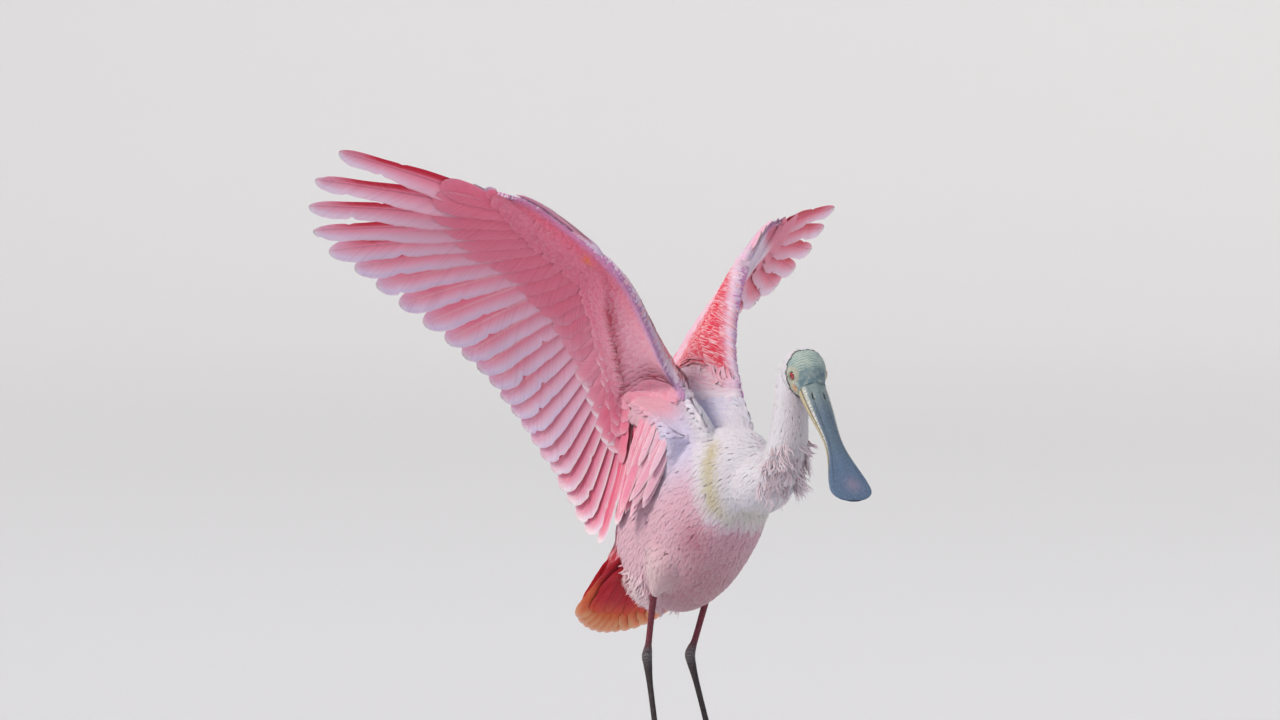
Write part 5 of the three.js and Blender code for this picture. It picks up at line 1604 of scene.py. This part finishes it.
def build_tail_coverts():
    dice = np.random.default_rng(73)
    for where, side in (("over", OVER), ("under", UNDER)):
        some = [(tier, n) for tier in range(TAIL_TIERS) for n in range(TAIL_COVERTS)]
        tier, n = (np.array(values, float)[:, None] for values in zip(*some))
        j = -0.2 + (RECTRICES - 0.6) * (n + 0.5 * (tier % 2)) / TAIL_COVERTS
        j = j + dice.normal(0, 0.12, n.shape)
        size = 47 - 4.5 * tier + dice.normal(0, 1.5, n.shape)
        height = 6.6 + 0.7 * tier + dice.uniform(0, 1.2, n.shape)

        def lift(share):
            return side * (height + (3.0 + 0.5 * tier) * (1 - share) - 1.4 * share)

        points, faces, x, _, s, barb, (up, across) = tail_vanes(
            j, 34 - 13 * tier, size, 8.0 - 0.5 * tier, lift, COVERT_COLUMNS, 14, 0.6, 0.15, 75 + side)
        chance = dice.uniform(0, 1, n.shape)[..., None]
        paint = mixed(COVERT_RED, TAIL_RED, np.clip(0.4 * chance + 0.3 * np.abs(x), 0, 1))
        tip = 0.55 * ramp(s, 0.6, 1.0) * ramp(-spread(tier, x), -1.5, 0.0)
        paint = mixed(paint, TAIL_ORANGE, tip)
        u, v = 0.05 + 0.06 * j[..., None] + 0.0015 * x, 0.2 + 0.15 * tier[..., None] + 0.003 * s
        coat_piece(
            f"tail_coverts_{where}", covert_finish, "tail_feathers", points, faces, paint, barb,
            np.stack([u, v], -1), soft_normals(side * up, across, x, side))


build_tail()
build_tail_coverts()


# The body's plumage. Soft small feathers grow from the whole skin and overlap in the way they lie,
# from the head back to the tail. They hug the body, short on the neck and loose at the vent.
TUFT_COLUMNS = np.array([-1.0, 0.0, 1.0])
COAT_LAYERS = 5.5
LIE_REACH = 22.0
# How much of the way that the skin faces a tuft keeps from its row before, so that it rides over edges.
STEADY = 0.6
LIE = np.array([
    # forwards, outwards, up, the way they lie there, length, width, height of the tips
    [150, 0, 424, -0.5, 0.1, -0.8, 5, 2.0, 1.4],
    [178, 12, 405, -0.1, 0.2, -1, 5, 1.9, 1.3],
    [167, 10, 375, 0, 0.1, -1, 6.5, 2.2, 2.2],
    [166, 10, 345, -0.05, 0.1, -1, 8, 2.5, 2.7],
    [175, 8, 320, -0.2, 0.15, -1, 9, 2.8, 3.0],
    [130, 12, 328, -0.7, 0.25, -0.6, 9.5, 3.0, 3.0],
    [145, 20, 285, -0.4, 0.25, -0.9, 12, 3.6, 3.6],
    [120, 20, 262, -0.6, 0.15, -0.8, 13, 4.0, 4.0],
    [100, 36, 300, -0.6, 0.3, -0.7, 12, 3.8, 3.6],
    [92, 20, 352, -0.95, 0.25, -0.15, 12, 4.0, 3.2],
    [70, 30, 215, -0.8, 0.1, -0.55, 15, 4.8, 4.2],
    [20, 15, 168, -0.9, 0, -0.25, 16, 5.2, 4.4],
    [50, 12, 358, -1, 0.1, -0.1, 14, 4.8, 3.6],
    [0, 12, 335, -0.95, 0, -0.35, 16, 5.4, 4.0],
    [-60, 10, 300, -0.75, 0, -0.65, 18, 6.0, 4.2],
    [72, 48, 330, -0.6, 0.35, -0.7, 14, 4.6, 3.2],
    [60, 52, 290, -0.65, 0.1, -0.75, 16, 5.2, 4.0],
    [20, 55, 255, -0.7, 0.05, -0.75, 16, 5.4, 4.2],
    [-35, 45, 250, -0.7, 0, -0.75, 18, 5.8, 4.2],
    [22, 46, 246, -0.4, 0.1, -0.9, 19, 5.0, 4.4],
    [14, 42, 222, -0.35, 0.1, -0.95, 17, 4.6, 4.0],
    [2, 40, 190, -0.3, 0, -1, 10, 3.4, 2.6],
    [-45, 20, 185, -0.75, 0, -0.7, 22, 5.4, 5.5],
    [-85, 18, 225, -0.5, 0, -0.9, 24, 6.0, 4.0],
    [-108, 12, 172, -0.4, 0, -0.95, 18, 5.6, 3.0],
    [48, 32, 392, -0.5, 0.15, -0.85, 16, 5.4, 3.0],
])


def coat_lie(places):
    """The way the coat lies at places on the skin, and its feathers' length, width and height."""
    side = np.where(places[:, 0] < 0, RIGHT, LEFT)
    own = np.stack([-places[:, 1], np.abs(places[:, 0]), places[:, 2]], -1)
    away = np.sum((own[:, None] - LIE[:, :3]) ** 2, -1) / (2 * LIE_REACH ** 2)
    weight = np.exp(away.min(1, keepdims=True) - away)
    value = weight @ LIE[:, 3:] / weight.sum(1, keepdims=True)
    way = np.stack([side * value[:, 1], -value[:, 0], value[:, 2]], -1)
    return way, *value[:, 3:].T


def scattered(points, quads, layers, seed):
    """Roots spread over a skin, closer where the feathers are smaller, and the skin's way out there."""
    dice = np.random.default_rng(seed)
    corner = points[quads]
    cross = np.cross(corner[:, 2] - corner[:, 0], corner[:, 3] - corner[:, 1])
    area = np.linalg.norm(cross, axis=-1) / 2
    _, length, width, _ = coat_lie(corner.mean(1))
    wanted = np.cumsum(area * layers / (0.75 * length * width))
    total = int(wanted[-1])
    drawn = (np.arange(total) + dice.uniform(0, 1, total)) / total * wanted[-1]
    cell = np.clip(np.searchsorted(wanted, drawn), 0, len(quads) - 1)
    a, b = dice.uniform(0, 1, (2, total, 1))
    one, two, three, four = np.moveaxis(corner[cell], 1, 0)
    root = (one * (1 - a) + two * a) * (1 - b) + (four * (1 - a) + three * a) * b
    return root, unit(cross[cell])


def walk_on_skin(roots, ways, size, steps, swing):
    """The places on the skin that small feathers pass over, and the ways it faces there."""
    foot, normal = np.empty((len(roots), len(steps), 3)), np.empty((len(roots), len(steps), 3))
    for n, (place, way) in enumerate(zip(roots, ways)):
        for row, step in enumerate(steps):
            if row:
                place = foot[n, row - 1] + way * (size[n] * (step - steps[row - 1]))
            hit, out, _, _ = skin_tree.find_nearest((place * MM).tolist())
            hit, out = np.array(hit) / MM, np.array(out)
            if row:
                out = unit(out + STEADY * normal[n, row - 1])
            else:
                way = way * math.cos(swing[n]) + np.cross(out, way) * math.sin(swing[n])
            foot[n, row], normal[n, row] = hit, out
            way = way - out * (way @ out)
            way = way / (np.linalg.norm(way) + 1e-9)
    return foot, normal


def small_feathers(feathers, share, size, out, across, dice):
    """Vanes of small feathers with their shares, chances, barbs and normals."""
    points, faces, x, _, offset = feathers
    s = spread(share, x)
    chance = dice.uniform(0, 1, (len(size), 1))[..., None]
    barb = np.stack([offset, s * size[..., None], np.broadcast_to(chance, x.shape)], -1)
    return points, faces, s, x, chance, barb, soft_normals(out, across, x)


def tufts(roots, seed, rows=5):
    """Small feathers that start in the skin at their roots and follow it, lifting to their tips."""
    dice = np.random.default_rng(seed)
    count = len(roots)
    ways, size, wide, rise = coat_lie(roots)
    size = size * dice.uniform(0.8, 1.2, count)
    steps = shares(rows, 1.5)
    foot, normal = walk_on_skin(roots, ways, size, steps, dice.normal(0, 0.13, count))
    share = steps[None, :]
    rise = (rise * dice.uniform(0.7, 0.86, count))[:, None]
    height = -1.0 + (1.0 + 0.62 * rise) * ramp(share, 0, 0.25) + 0.38 * rise * share
    centre = foot + normal * height[..., None]
    along = unit(np.gradient(centre, axis=1))
    across = unit(np.cross(along, normal))
    up = np.cross(across, along)
    bend = dice.normal(0, 0.05, (count, 1)) * size[:, None] * share ** 2
    centre = centre + across * bend[..., None]
    half = wide[:, None] / 2 * (0.6 + 0.4 * ramp(share, 0, 0.4)) * rounded_end(share, 0.3)
    feathers = vanes(
        centre, across, up, half, half, 0.3 * (1.1 - share), TUFT_COLUMNS, droop=0.1 * half)
    out = unit(0.3 * up + 0.7 * normal)
    return small_feathers(feathers, share, size[:, None], out, across, dice)


MAP_HALF, MAP_TALL = 230, 700


def box_map(roots, outs, s, x):
    """A small patch for each tuft, at its root's place on the six sides the skin is unwrapped to."""
    main = np.argmax(np.abs(outs), -1)
    far = np.take_along_axis(outs, main[:, None], -1)[:, 0] > 0
    first = np.where(main == 0, roots[:, 1], roots[:, 0])
    second = np.where(main == 2, roots[:, 1], roots[:, 2])
    u = (main + (first + MAP_HALF) / (2 * MAP_HALF) * 0.9 + 0.05) / 3
    v = (far + (second + MAP_HALF) / MAP_TALL * 0.9 + 0.05) / 2
    return np.stack([u[:, None, None] + 0.0015 * x, v[:, None, None] + 0.003 * (s - 0.5)], -1)


def soft_paint(roots, s, x, chance):
    """The skin's colour at each root, darker there and paler at the tip."""
    paint = np.broadcast_to(body_paint(roots)[:, None, None, :], (*x.shape, 3))
    shade = np.clip(0.4 * (1 - ramp(s, 0.0, 0.4)) + 0.4 * (chance - 0.5), 0, 1)
    paint = mixed(paint, paint * 0.86, shade)
    return mixed(paint, EDGE_WHITE, np.clip(0.12 * ramp(s, 0.6, 1.0) + 0.06 * chance, 0, 1))


def tree_of(points, faces):
    polygons = [list(face) for group in faces for face in group]
    return BVHTree.FromPolygons((points * MM).tolist(), polygons)


trunk_tree = tree_of(*joined(body_shells[:FIRST_ARM]))
skull_tree = tree_of(head_points, head_faces[:1])
arm_trees = [tree_of(points, faces[:1]) for points, faces in body_shells[FIRST_ARM:FIRST_ARM + 2]]


def under_coverts(place):
    """True where a place on the skin lies on an arm, clear of the shoulder."""
    spot = (place * MM).tolist()
    trunk_away = trunk_tree.find_nearest(spot)[3]
    for tree in arm_trees:
        _, _, face, away = tree.find_nearest(spot)
        number_here = ARM_START + face // ARM_SIDES / (ARM_RINGS - 1) * (SUNK - ARM_START)
        if away < trunk_away and number_here < COVERTS_END - 0.7:
            return True
    return False


def bare_head(roots):
    forward, _, up = into_head(roots)
    return (forward > bare_edge(up) - 0.8) & (roots[:, 2] > 370)


def plumage():
    """Roots over the whole coat, with the way the skin faces there.

    None lies under the coverts, inside the skull or on the bare head. Fans close the skull's ends.
    """
    body_roots, body_outs = scattered(body_points, body_faces[0], COAT_LAYERS, 101)
    clear = np.array([not under_coverts(root) for root in body_roots])
    for n in np.flatnonzero(body_roots[:, 2] > 380):
        hit, out, _, _ = skull_tree.find_nearest((body_roots[n] * MM).tolist())
        clear[n] &= (body_roots[n] * MM - hit) @ out > 0
    fans = [[cap[0], *cap[k:k + 3]] for cap in head_faces[1] for k in range(1, len(cap) - 2, 2)]
    head_quads = np.concatenate([head_faces[0], fans])
    head_roots, head_outs = scattered(head_points, head_quads, COAT_LAYERS, 103)
    roots = np.concatenate([body_roots[clear], head_roots])
    outs = np.concatenate([body_outs[clear], head_outs])
    feathered = ~bare_head(roots)
    return roots[feathered], outs[feathered]


down_finish = feather_finish("soft body feathers", 0.6, 0.25, 0.4)
roots, outs = plumage()
forwards, heights = -roots[:, 1], roots[:, 2]
on_neck = (heights > 342) & (forwards > 120)
on_breast = ~on_neck & (forwards > 88)
on_back = ~on_neck & ~on_breast & (heights - 0.3 * forwards > 275)
on_rump = ~on_back & (forwards < -25)
on_belly = ~(on_neck | on_breast | on_back | on_rump)
REGIONS = [
    ("neck_feathers", on_neck), ("breast_feathers", on_breast), ("back_feathers", on_back),
    ("rump_feathers", on_rump), ("belly_feathers", on_belly),
]
for region_seed, (region, here) in enumerate(REGIONS):
    slot = "neck_feathers" if region in ("neck_feathers", "breast_feathers") else "back_feathers"
    for name, side in SIDES.items():
        chosen = here & ((roots[:, 0] < 0) == (side == RIGHT))
        points, faces, s, x, chance, barb, normals = tufts(roots[chosen], 201 + 2 * region_seed + side)
        paint = soft_paint(roots[chosen], s, x, chance)
        bake = box_map(roots[chosen], outs[chosen], s, x)
        coat_piece(f"{region}_{name}", down_finish, slot, points, faces, paint, barb, bake, normals)


# The loose plumes. Long curved locks hang from the base of the neck, and soft fluff stands out behind
# the thighs. A few short plumes stand at the nape, and long feathers fan out under each wing's root.
def loose(
        roots, ways, facing, size, wide, sag, sway, seed,
        rows=9, columns=TUFT_COLUMNS, thick=0.3, curl=0.0):
    """Feathers that leave the coat at their roots, sag, sway to one side and curl."""
    dice = np.random.default_rng(seed)
    share = np.linspace(0, 1, rows)[None, :]
    ways, facing = unit(ways), unit(facing)
    side = unit(np.cross(ways, facing))
    size, wide, sag, sway = (
        np.broadcast_to(v, len(roots)).astype(float)[:, None] for v in (size, wide, sag, sway))
    centre = roots[:, None] + ways[:, None] * (size * share)[..., None]
    centre = centre - UPWARD * (size * sag * share ** 2)[..., None]
    wave = curl * share * np.sin(9 * share + dice.uniform(0, 2 * np.pi, size.shape))
    centre = centre + side[:, None] * (size * (sway * share ** 2 + wave))[..., None]
    along = unit(np.gradient(centre, axis=1))
    across = unit(np.cross(along, facing[:, None]))
    up = np.cross(across, along)
    half = wide / 2 * (0.5 + 0.5 * ramp(share, 0, 0.35)) * rounded_end(share, 0.5)
    feathers = vanes(
        centre, across, up, half, half, thick * (1.1 - share), columns, 0.2 * thick, 0.08 * half)
    out = unit(0.5 * up + 0.5 * facing[:, None])
    return small_feathers(feathers, share, size, out, across, dice)


def on_skin(places):
    """The nearest places on the skin, and the way it faces there."""
    found = [skin_tree.find_nearest((place * MM).tolist())[:2] for place in places]
    return np.array([hit for hit, _ in found]) / MM, np.array([out for _, out in found])


PLUME_ROOT_SHADED, PLUME_TIP = colour("a87c88"), colour("e8d6e0")
AXILLARY_REAR, AXILLARY_FRONT = colour("ea7e9e"), colour("ecc6da")
RUFF_FORWARD, RUFF_RADIUS = 145, 30


def breast_plumes(locks=72, strands=10):
    """Locks of hanging strands all round the front of the neck's base."""
    dice = np.random.default_rng(301)

    def per_lock(values):
        return np.repeat(values, strands)

    turn = per_lock(np.radians(dice.uniform(-78, 78, locks))) + dice.normal(0, 0.07, locks * strands)
    level = per_lock(dice.uniform(292, 350, locks)) + dice.normal(0, 1.6, locks * strands)
    out = at(np.stack([np.cos(turn), np.sin(turn), 0 * turn], -1))
    middle = at(np.stack([RUFF_FORWARD + 0 * level, 0 * level, level], -1))
    roots, outs = on_skin(middle + out * RUFF_RADIUS)
    lean = per_lock(dice.normal(0, 0.3, locks))[:, None]
    ways = outs * 0.3 - UPWARD * 0.9 + np.cross(UPWARD, outs) * lean + dice.normal(0, 0.07, outs.shape)
    size = per_lock(dice.uniform(12, 25, locks)) * dice.uniform(0.8, 1.1, len(level))
    sway = per_lock(dice.normal(0, 0.4, locks)) + dice.normal(0, 0.08, len(level))
    points, faces, s, x, chance, barb, normals = loose(
        roots - outs, ways, outs, size, 1.1, 0.1, sway, 303, curl=0.13)
    # The locks are brownish at the root, partly their own colour and partly painted shade under the ruff.
    paint = mixed(PLUME_ROOT_SHADED, PLUME_TIP, np.clip(ramp(s, 0.05, 0.6) * 0.8 + 0.3 * chance, 0, 1))
    return points, faces, paint, barb, box_map(roots, outs, s, x), normals


def nape_plumes(count=30):
    dice = np.random.default_rng(311)
    spots = at(np.array([151, 8, 422]) + dice.normal(0, 1, (count, 3)) * [2.5, 6, 4.5])
    roots, outs = on_skin(spots)
    ways = outs * 0.4 + at([-0.8, 0, 0.35]) + dice.normal(0, 0.22, outs.shape)
    size = dice.uniform(5, 10, count)
    sway = dice.normal(0, 0.2, count)
    points, faces, s, x, _, barb, normals = loose(
        roots - outs, ways, np.cross(ways, SIDEWAYS), size, 1.7, 0.2, sway, 313)
    paint = mixed(NECK_WHITE, EDGE_WHITE, 0.5 * s)
    return points, faces, paint, barb, box_map(roots, outs, s, x), normals


def vent_fluff(count=1050):
    dice = np.random.default_rng(321)
    out = dice.uniform(-46, 46, count)
    spots = at(np.stack([dice.uniform(-78, -20, count), out, dice.uniform(162, 206, count)], -1))
    roots, outs = on_skin(spots)
    ways = coat_lie(roots)[0] + outs * 0.22 + dice.normal(0, 0.13, outs.shape)
    size = dice.uniform(11, 19, count)
    wide, sway = dice.uniform(1.3, 2.3, count), dice.normal(0, 0.25, count)
    points, faces, s, x, _, barb, normals = loose(
        roots - outs, ways, outs, size, wide, 0, sway, 323, 7, curl=0.05)
    tones = body_paint(roots)[:, None, None, :]
    paint = mixed(np.broadcast_to(tones, (*x.shape, 3)), EDGE_WHITE, 0.12 + 0.35 * ramp(s, 0.4, 1.0))
    return points, faces, paint, barb, box_map(roots, outs, s, x), normals


AXILLARY_ROOTS = np.array([[-14, 48, 382], [32, 52, 352], [78, 50, 322]])
AXILLARY_WAYS = np.array([[-0.16, 0.16, -0.98], [-0.38, 0.12, -0.9], [-0.62, 0.09, -0.77]])
AXILLARY_LENGTHS = [118, 96, 64]
AXILLARY_ROWS, AXILLARY_COUNT, AXILLARY_OFF_SKIN = 6, 15, 9


def axillaries(side):
    """The fan under a wing's root, whose rear feathers are the longest."""
    dice = np.random.default_rng(331 + side)
    row, order = np.divmod(np.arange(AXILLARY_ROWS * AXILLARY_COUNT), AXILLARY_COUNT)
    place = (order + 0.5 * (row % 2) + dice.normal(0, 0.15, row.size)) / AXILLARY_COUNT
    keys = np.linspace(0, 1, 3)
    start = track(zip(keys, AXILLARY_ROOTS))(place)
    way = track(zip(keys, AXILLARY_WAYS))(place) + dice.normal(0, 0.025, (row.size, 3))
    start = start + way * (dice.uniform(-9, 9, row.size) - 2 * row)[:, None]
    size = np.interp(place, keys, AXILLARY_LENGTHS) * (1 - 0.12 * row)
    size = size * dice.uniform(0.92, 1.06, row.size)
    roots, outs = on_skin(at(start, side))
    near = np.linalg.norm(roots - at(start, side), axis=-1) < AXILLARY_OFF_SKIN
    row, place, start, way, size, roots, outs = (
        values[near] for values in (row, place, start, way, size, roots, outs))
    facing = unit(at(np.array([0.35, 0.9, 0.15]) + 0 * start, side) + outs)
    roots = roots - facing * (2.2 - 0.8 * row)[:, None]
    way = at(way, side) + facing * 0.05
    wide = 13.5 - 1.0 * row - 3 * place
    sway = dice.normal(0, 0.05, row.size)
    points, faces, s, x, chance, barb, normals = loose(
        roots, way, facing, size, wide, 0, sway, 333, 12, COVERT_COLUMNS, 0.45)
    tone = mixed(AXILLARY_REAR, AXILLARY_FRONT, np.clip(place * 0.9 + 0.1 * row, 0, 1))[:, None, None, :]
    paint = np.broadcast_to(tone, (*x.shape, 3))
    paint = mixed(paint, HOT_PINK, 0.35 * chance * (1 - ramp(s, 0.5, 0.9)) * (1 - place[:, None, None]))
    paint = mixed(paint, EDGE_WHITE, 0.5 * np.maximum(ramp(np.abs(x), 0.6, 1.0), ramp(s, 0.85, 1.0)))
    return points, faces, paint, barb, box_map(roots, facing, s, x), normals


coat_piece("breast_plumes", down_finish, "neck_feathers", *breast_plumes())
coat_piece("nape_plumes", down_finish, "neck_feathers", *nape_plumes())
coat_piece("vent_fluff", down_finish, "back_feathers", *vent_fluff())
for name, side in SIDES.items():
    coat_piece(f"axillary_feathers_{name}", covert_finish, "wing_feathers", *axillaries(side))


# The room. A plain pale floor, broad soft lights, and a camera far off, low before the bird's right.
CAMERA_AZIMUTH, CAMERA_HEIGHT, CAMERA_AWAY = math.radians(-40), math.radians(1.6), 14000.0
FRAME_WIDTH, FRAME_HEIGHT, PIXEL = 1280, 720, 1 / 0.94
# Where the point midway between the feet lies in the frame, across and down from its top left corner.
FEET_IN_FRAME = (685.5, 760.0)
SENSOR_WIDTH, SEEN_TO = 36, 200


def aimed(thing, place, target):
    """Puts a camera or a light at a place, looking at a target."""
    thing.location = (place + SHIFT) * MM
    back = unit(place - target)
    side = unit(np.cross(UPWARD, back))
    thing.rotation_euler = Matrix([side, np.cross(back, side), back]).transposed().to_euler()


toward_camera = np.array([
    math.sin(CAMERA_AZIMUTH) * math.cos(CAMERA_HEIGHT),
    -math.cos(CAMERA_AZIMUTH) * math.cos(CAMERA_HEIGHT),
    math.sin(CAMERA_HEIGHT),
])
camera_side = unit(np.cross(UPWARD, toward_camera))
camera_up = np.cross(toward_camera, camera_side)
target = camera_side * (FRAME_WIDTH / 2 - FEET_IN_FRAME[0]) * PIXEL
target = target + camera_up * (FEET_IN_FRAME[1] - FRAME_HEIGHT / 2) * PIXEL
lens = bpy.data.cameras.new("camera")
lens.sensor_width = SENSOR_WIDTH
lens.lens = SENSOR_WIDTH * CAMERA_AWAY / (FRAME_WIDTH * PIXEL)
lens.clip_end = SEEN_TO
camera = placed("camera", lens)
aimed(camera, target + toward_camera * CAMERA_AWAY, target)
bpy.context.scene.camera = camera

# The floor turns up into a wall all round, so that no edge shows behind the bird.
# Its profile is in metres, outwards and up, and it lies just under the feet.
FLOOR_PROFILE = [
    [6, 0], [12, 0], [17, 0], [19.5, 0.5], [21.5, 1.7], [23, 3.6], [23.8, 6], [24, 9], [24, 16],
]
FLOOR_SIDES, FLOOR_UNDER = 96, 0.05
floor_out, floor_up = (np.array(FLOOR_PROFILE) / MM).T
reach, turn = rings(floor_out, FLOOR_SIDES)
level = np.broadcast_to(floor_up[:, None] - FLOOR_UNDER, reach.shape)
floor_points = np.stack([reach * np.cos(turn), reach * np.sin(turn), level], -1).reshape(-1, 3)
floor_quads, floor_ends = grid_faces(len(FLOOR_PROFILE), FLOOR_SIDES)
floor = placed("floor", mesh_of("floor", floor_points, [floor_quads, floor_ends[:1]]))
floor_paint = ("Base Color", rgba("d3d5d8"))
floor.data.materials.append(finish("pale floor", None, 0.95, (), [floor_paint]))

LAMPS_AIM = [20, 0, 330]
LAMPS = [
    # name, place it shines from, angle across, strength, tone
    ("key", [-250, -1700, 1900], 20, 2.6, "fff4e8"),
    ("fill", [1500, 500, 900], 70, 0.35, "e8eeff"),
    ("rim", [-1500, 900, 1500], 30, 1.1, "f6f4ff"),
]
for name, place, across, strength, tone in LAMPS:
    lamp = bpy.data.lights.new(name, "SUN")
    lamp.angle, lamp.energy, lamp.color = math.radians(across), strength, colour(tone)
    aimed(placed(name, lamp), at(place), at(LAMPS_AIM))
world = bpy.data.worlds.new("room")
world.use_nodes = True
background = world.node_tree.nodes["Background"].inputs
background["Color"].default_value = rgba("dfe4ec")
background["Strength"].default_value = 0.55
bpy.context.scene.world = world
bpy.context.scene.view_settings.view_transform = "Standard"
